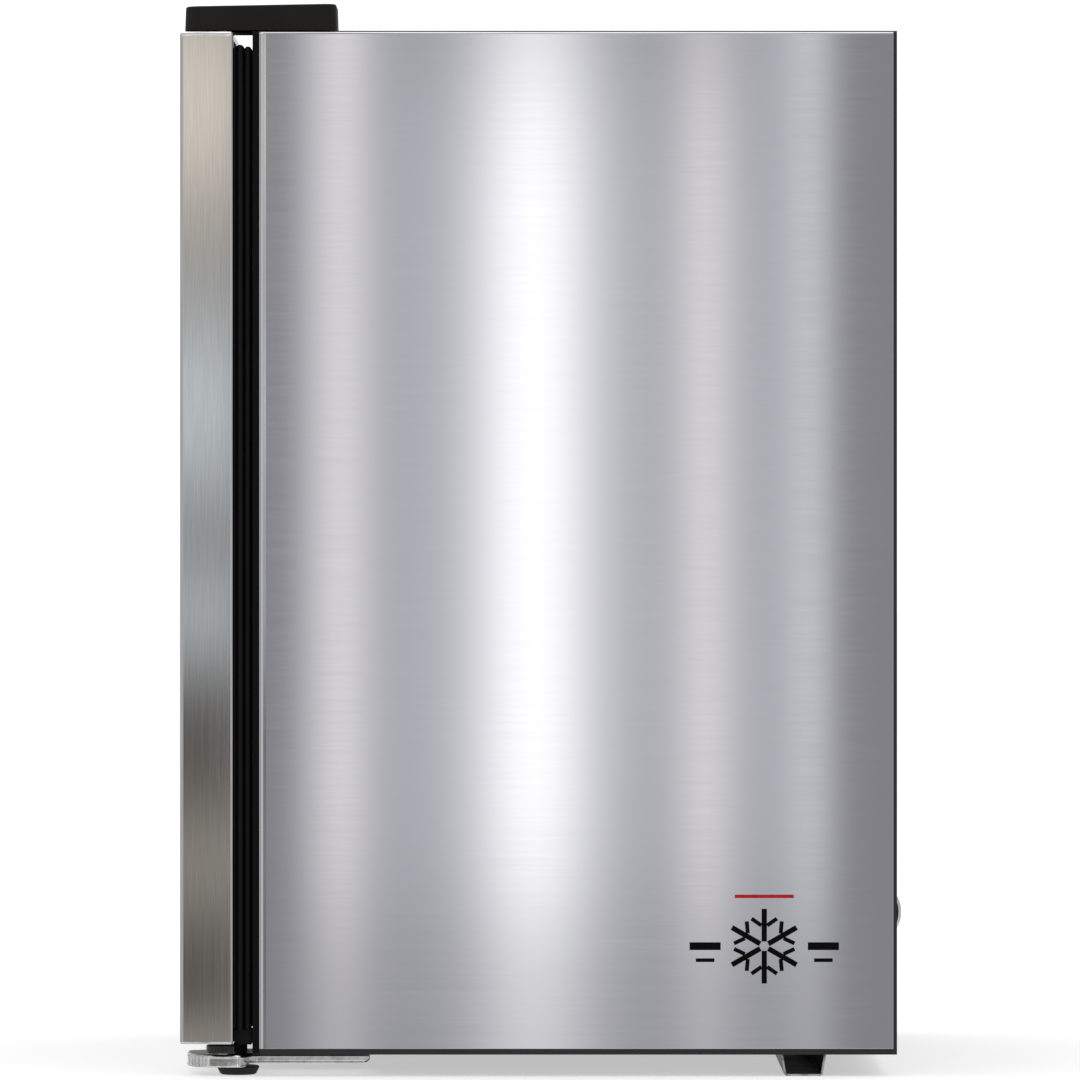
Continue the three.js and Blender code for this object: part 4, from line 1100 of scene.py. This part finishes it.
# ---------- what stays from the CAD ----------
STAY = {
    ("black_steel", 0.4): ["cabinet_shell"],
    ("black_steel", 0.3): ["base_plate"],
    ("pressed_black", 0.35): ["compressor_tray"],
    ("frame_plastic", 0.6): ["front_frame"],
    ("black_plastic", 0.3): ["door_bush_top"],
    ("black_plastic", 0.4): ["light_switch"],
    ("black_plastic", 0.5): ["cord_gland", "door_inner_frame"],
    ("black_plastic", 0.7): ["handle_grip"],
    ("black_plastic", 1.0): ["compressor_terminal_cover"],
    ("white_plastic", 0.3): ["drain_tube"],
    ("white_plastic", 0.4): ["thermostat_switch"],
    ("white_plastic", 0.5): ["evaporation_tray"],
    ("white_plastic", 0.8): ["thermostat_housing"],
    ("galvanised", 0.3): ["compressor_bay_shield"],
    ("aluminium", 0.5): ["light_housing", "glazing_spacer_front", "glazing_spacer_rear"],
    ("aluminium", 0.7): ["evaporator_plate"],
    ("zinc", 0.4): ["top_hinge_plate"],
    ("zinc", 0.3): [
        "top_hinge_pin", "bottom_hinge_pin", "top_hinge_screw_1", "top_hinge_screw_2",
        "bottom_hinge_screw_1", "bottom_hinge_screw_2",
    ],
    ("rubber", 0.4): [f"compressor_grommet_{i}" for i in (1, 2, 3, 4)],
    ("copper", 0): ["condenser_coil_right", "condenser_coil_left"],
    ("foam", 0): ["insulation_foam"],
    ("magnet", 0): ["gasket_magnet"],
    ("lens", 0.5): ["light_lens"],
    ("tinted_glass", 0.4): ["glass_outer"],
    ("glass", 0.3): ["glass_middle"],
    ("glass", 0.4): ["glass_inner"],
}


# ---------- the set ----------
CAMERA_DISTANCE = 4.7
VIEW_WIDTH = 0.694
EYE = Vector((HALF_WIDTH + CAMERA_DISTANCE, -0.001, 0.345))


def add_camera():
    data = bpy.data.cameras.new("camera")
    data.sensor_width = 36
    data.lens = data.sensor_width * CAMERA_DISTANCE / VIEW_WIDTH
    data.clip_end = 60
    camera = bpy.data.objects.new("camera", data)
    camera.location = EYE
    camera.rotation_euler = (math.pi / 2, 0, math.pi / 2)
    bpy.context.scene.collection.objects.link(camera)
    bpy.context.scene.camera = camera
    bpy.context.scene.view_settings.view_transform = "Standard"


def add_world():
    """White for the camera. Reflections find it grey all round, and bright overhead and underfoot."""
    world = bpy.data.worlds.new("studio")
    bpy.context.scene.world = world
    world.use_nodes = True
    tree = world.node_tree
    where = add_node(tree, "ShaderNodeTexCoord").outputs["Generated"]
    height = add_node(tree, "ShaderNodeSeparateXYZ", {0: where}).outputs["Z"]

    def ramp(start, end, low, high):
        inputs = {"Value": height, "From Min": start, "From Max": end, "To Min": low, "To Max": high}
        made = add_node(tree, "ShaderNodeMapRange", inputs, interpolation_type="SMOOTHSTEP")
        return made.outputs["Result"]

    levels = {0: ramp(-0.9, -0.6, 0.85, 0.5), 1: ramp(0.6, 0.9, 0.0, 0.6)}
    level = add_node(tree, "ShaderNodeMath", levels, operation="ADD").outputs[0]
    glossy = add_node(tree, "ShaderNodeLightPath").outputs["Is Glossy Ray"]
    inputs = {"Factor": glossy, "A": (1, 1, 1, 1), "B": level}
    blend = add_node(tree, "ShaderNodeMix", inputs, data_type="RGBA")
    shader = tree.nodes["Background"]
    shader.inputs["Strength"].default_value = 1.12
    tree.links.new(blend.outputs["Result"], shader.inputs["Color"])


def add_floor():
    reach, thick = 30, 20 * MM
    bm = bmesh.new()
    slab(bm, (-reach, -reach, -thick), (reach, reach, 0))
    floor = finish_mesh("floor", bm, "black_plastic")
    light = {"Specular_IOR_Level": 0.0, "Emission_Color": (1, 1, 1, 1), "Emission_Strength": 0.5}
    look = Look("floor", (0.5, 0.5, 0.5), 0.9, **light)
    look.vary_colour(look.noise(2, detail=4), (0.49, 0.49, 0.49), (0.51, 0.51, 0.51))
    floor.data.materials.clear()
    floor.data.materials.append(look.material)
    floor.visible_glossy = False


def add_light(name, place, target, size, power, colour=(1, 1, 1)):
    data = bpy.data.lights.new(name, "AREA")
    data.shape = "RECTANGLE"
    data.size, data.size_y = size
    data.energy = power
    data.color = colour
    lamp = bpy.data.objects.new(name, data)
    lamp.location = place
    lamp.rotation_euler = (Vector(target) - Vector(place)).to_track_quat("-Z", "Y").to_euler()
    lamp.visible_camera = False
    bpy.context.scene.collection.objects.link(lamp)
    return lamp


def bell(value, centre, width):
    return math.exp(-(((value - centre) / width) ** 2))


def step(value, place, soft):
    """A soft step from 0 to 1."""
    return 1 / (1 + math.exp(min(50.0, (place - value) / soft)))


def window(value, low, high, soft):
    """1 between two places, 0 outside, with soft shoulders."""
    return step(value, low, soft) * step(-value, -high, soft)


CARD_DISTANCE = 1.2
CALM = (0.56, 0.56, 0.58)
NEUTRAL = (1.0, 1.0, 0.97)
BLUISH = (0.985, 0.985, 1.06)
WARM = (1.07, 1.0, 0.9)
COOL = (0.89, 1.0, 1.08)


def tinted(level, tint):
    return Vector([level * t for t in tint])


def softbox_glow(y, z):
    """Upright tubes behind a screen. The places are where the flat side shows them."""
    tubes = (
        (-0.129, 0.018, 0.46, WARM), (-0.0045, 0.039, 1.06, NEUTRAL),
        (0.106, 0.019, 0.42, WARM), (0.172, 0.014, 0.26, NEUTRAL),
    )
    light = tinted(0.29 * window(y, -0.158, 0.189, 0.004), BLUISH)
    for centre, width, power, tint in tubes:
        light += tinted(power * bell(y, centre, width), tint)
    top = 1 - 0.45 * window(y, -0.1, 0.14, 0.008) * step(z, 0.645, 0.014)
    bottom = 0.43 + 0.57 * step(z, 0.105, 0.016)
    return tinted(0.335, BLUISH) + light * top * bottom


def strip_glow(z):
    """Panels of warm and of cool light, one above the other, that the door's edge shows."""
    panels = (
        (0.63, 0.095, 0.8, WARM), (0.43, 0.08, 0.68, COOL), (0.295, 0.042, 0.46, COOL),
        (0.138, 0.042, 0.22, WARM), (0.015, 0.022, 0.3, WARM),
    )
    light = tinted(0.12, WARM)
    for centre, width, power, tint in panels:
        light += tinted(power * bell(z, centre, width), tint)
    return light


def room_glow(along, z):
    """The rest of the room in a reflection: broad upright bands that calm down above and below."""
    bands = 0.36 * math.sin(along * 11.5 + 0.9) + 0.15 * math.sin(along * 27.0 + 2.0)
    return Vector(CALM) * (1 + bands * window(z, -0.6, 1.4, 0.08))


def side_glow(y, z):
    """What the flat sides and the door's edges show when they are seen straight on."""
    door = window(y, -0.6, -0.19, 0.003)
    glow = strip_glow(z) * door + softbox_glow(y, z) * (1 - door)
    near = window(y, -0.36, 0.36, 0.03) * window(z, -0.15, 0.85, 0.03)
    return glow * near + room_glow(y, z) * (1 - near)


def glow_look():
    material = bpy.data.materials.new("glow")
    material.use_nodes = True
    tree = material.node_tree
    tree.nodes.clear()
    colour = tree.nodes.new("ShaderNodeVertexColor")
    colour.layer_name = "glow"
    emit = tree.nodes.new("ShaderNodeEmission")
    out = tree.nodes.new("ShaderNodeOutputMaterial")
    tree.links.new(colour.outputs["Color"], emit.inputs["Color"])
    tree.links.new(emit.outputs[0], out.inputs["Surface"])
    return material


def add_card(name, place, glow, columns):
    """A glowing card beside the fridge that only reflections see. place turns (along, z) into a point."""
    reach, low, high, rows = 1.43, -1.0, 1.8, 140
    fold = CAMERA_DISTANCE / (CAMERA_DISTANCE + CARD_DISTANCE)
    bm = bmesh.new()
    layer = bm.verts.layers.float_color.new("glow")
    grid = []
    for j in range(rows + 1):
        row = []
        for i in range(columns + 1):
            along = reach * (2 * i / columns - 1)
            z = low + (high - low) * j / rows
            point = bm.verts.new(place(along, z))
            point[layer] = (*glow(EYE.y + (along - EYE.y) * fold, EYE.z + (z - EYE.z) * fold), 1)
            row.append(point)
        grid.append(row)
    fill_grid(bm, grid)
    mesh = bpy.data.meshes.new(name)
    bm.to_mesh(mesh)
    bm.free()
    card = bpy.data.objects.new(name, mesh)
    bpy.context.scene.collection.objects.link(card)
    card.data.materials.append(glow_look())
    card.visible_camera = False
    card.visible_diffuse = False
    card.visible_shadow = False
    card.visible_transmission = False


def add_cards():
    far = HALF_WIDTH + CARD_DISTANCE
    add_card("card_right", lambda y, z: (far, y, z), side_glow, 560)
    add_card("card_left", lambda y, z: (-far, y, z), side_glow, 560)
    add_card("card_front", lambda x, z: (x, DOOR_FRONT - CARD_DISTANCE, z), room_glow, 160)
    add_card("card_back", lambda x, z: (x, cad_bounds[1][1] + CARD_DISTANCE, z), room_glow, 160)


def add_lights():
    middle = (0, 0, 0.35)
    add_light("top", (0, 0, 3.2), middle, (3.0, 3.0), 14)
    add_light("front", (0.8, -3.6, 1.6), middle, (1.6, 1.6), 10)
    add_light("back", (-0.8, 3.6, 1.8), middle, (1.6, 1.6), 8)
    add_light("far_side", (-3.6, -0.5, 1.6), middle, (1.6, 1.6), 8)
    low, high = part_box("light_lens")
    place, target = (0, high.y + 4 * MM, low.z - 6 * MM), (0, 0.08, 0.3)
    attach(add_light("cavity", place, target, (0.28, 0.01), 0.22, (0.93, 0.97, 1)), "cabinet")


# ---------- build ----------
add_camera()
add_world()
add_floor()
add_cards()
add_lights()
for (look, width), names in STAY.items():
    for name in names:
        dress(name, look, width * MM)
for side in (1, -1):
    side_panel(side)
    side_mark(side)
door_frame()
corner_folds()
gasket()
glass_border()
grip_ribs()
door_bush()
hinge_lug()
foot_nut()
hinge_cap()
bracket_pressing()
for side in ("right", "left"):
    levelling_foot(side)
back_sheet()
back_screws()
compressor()
cooling_tubes()
filter_drier()
condenser_outlet()
liner_skin()
shelf_rails()
for level in SHELVES:
    wire_shelf(level)
knob()
dial_marks()
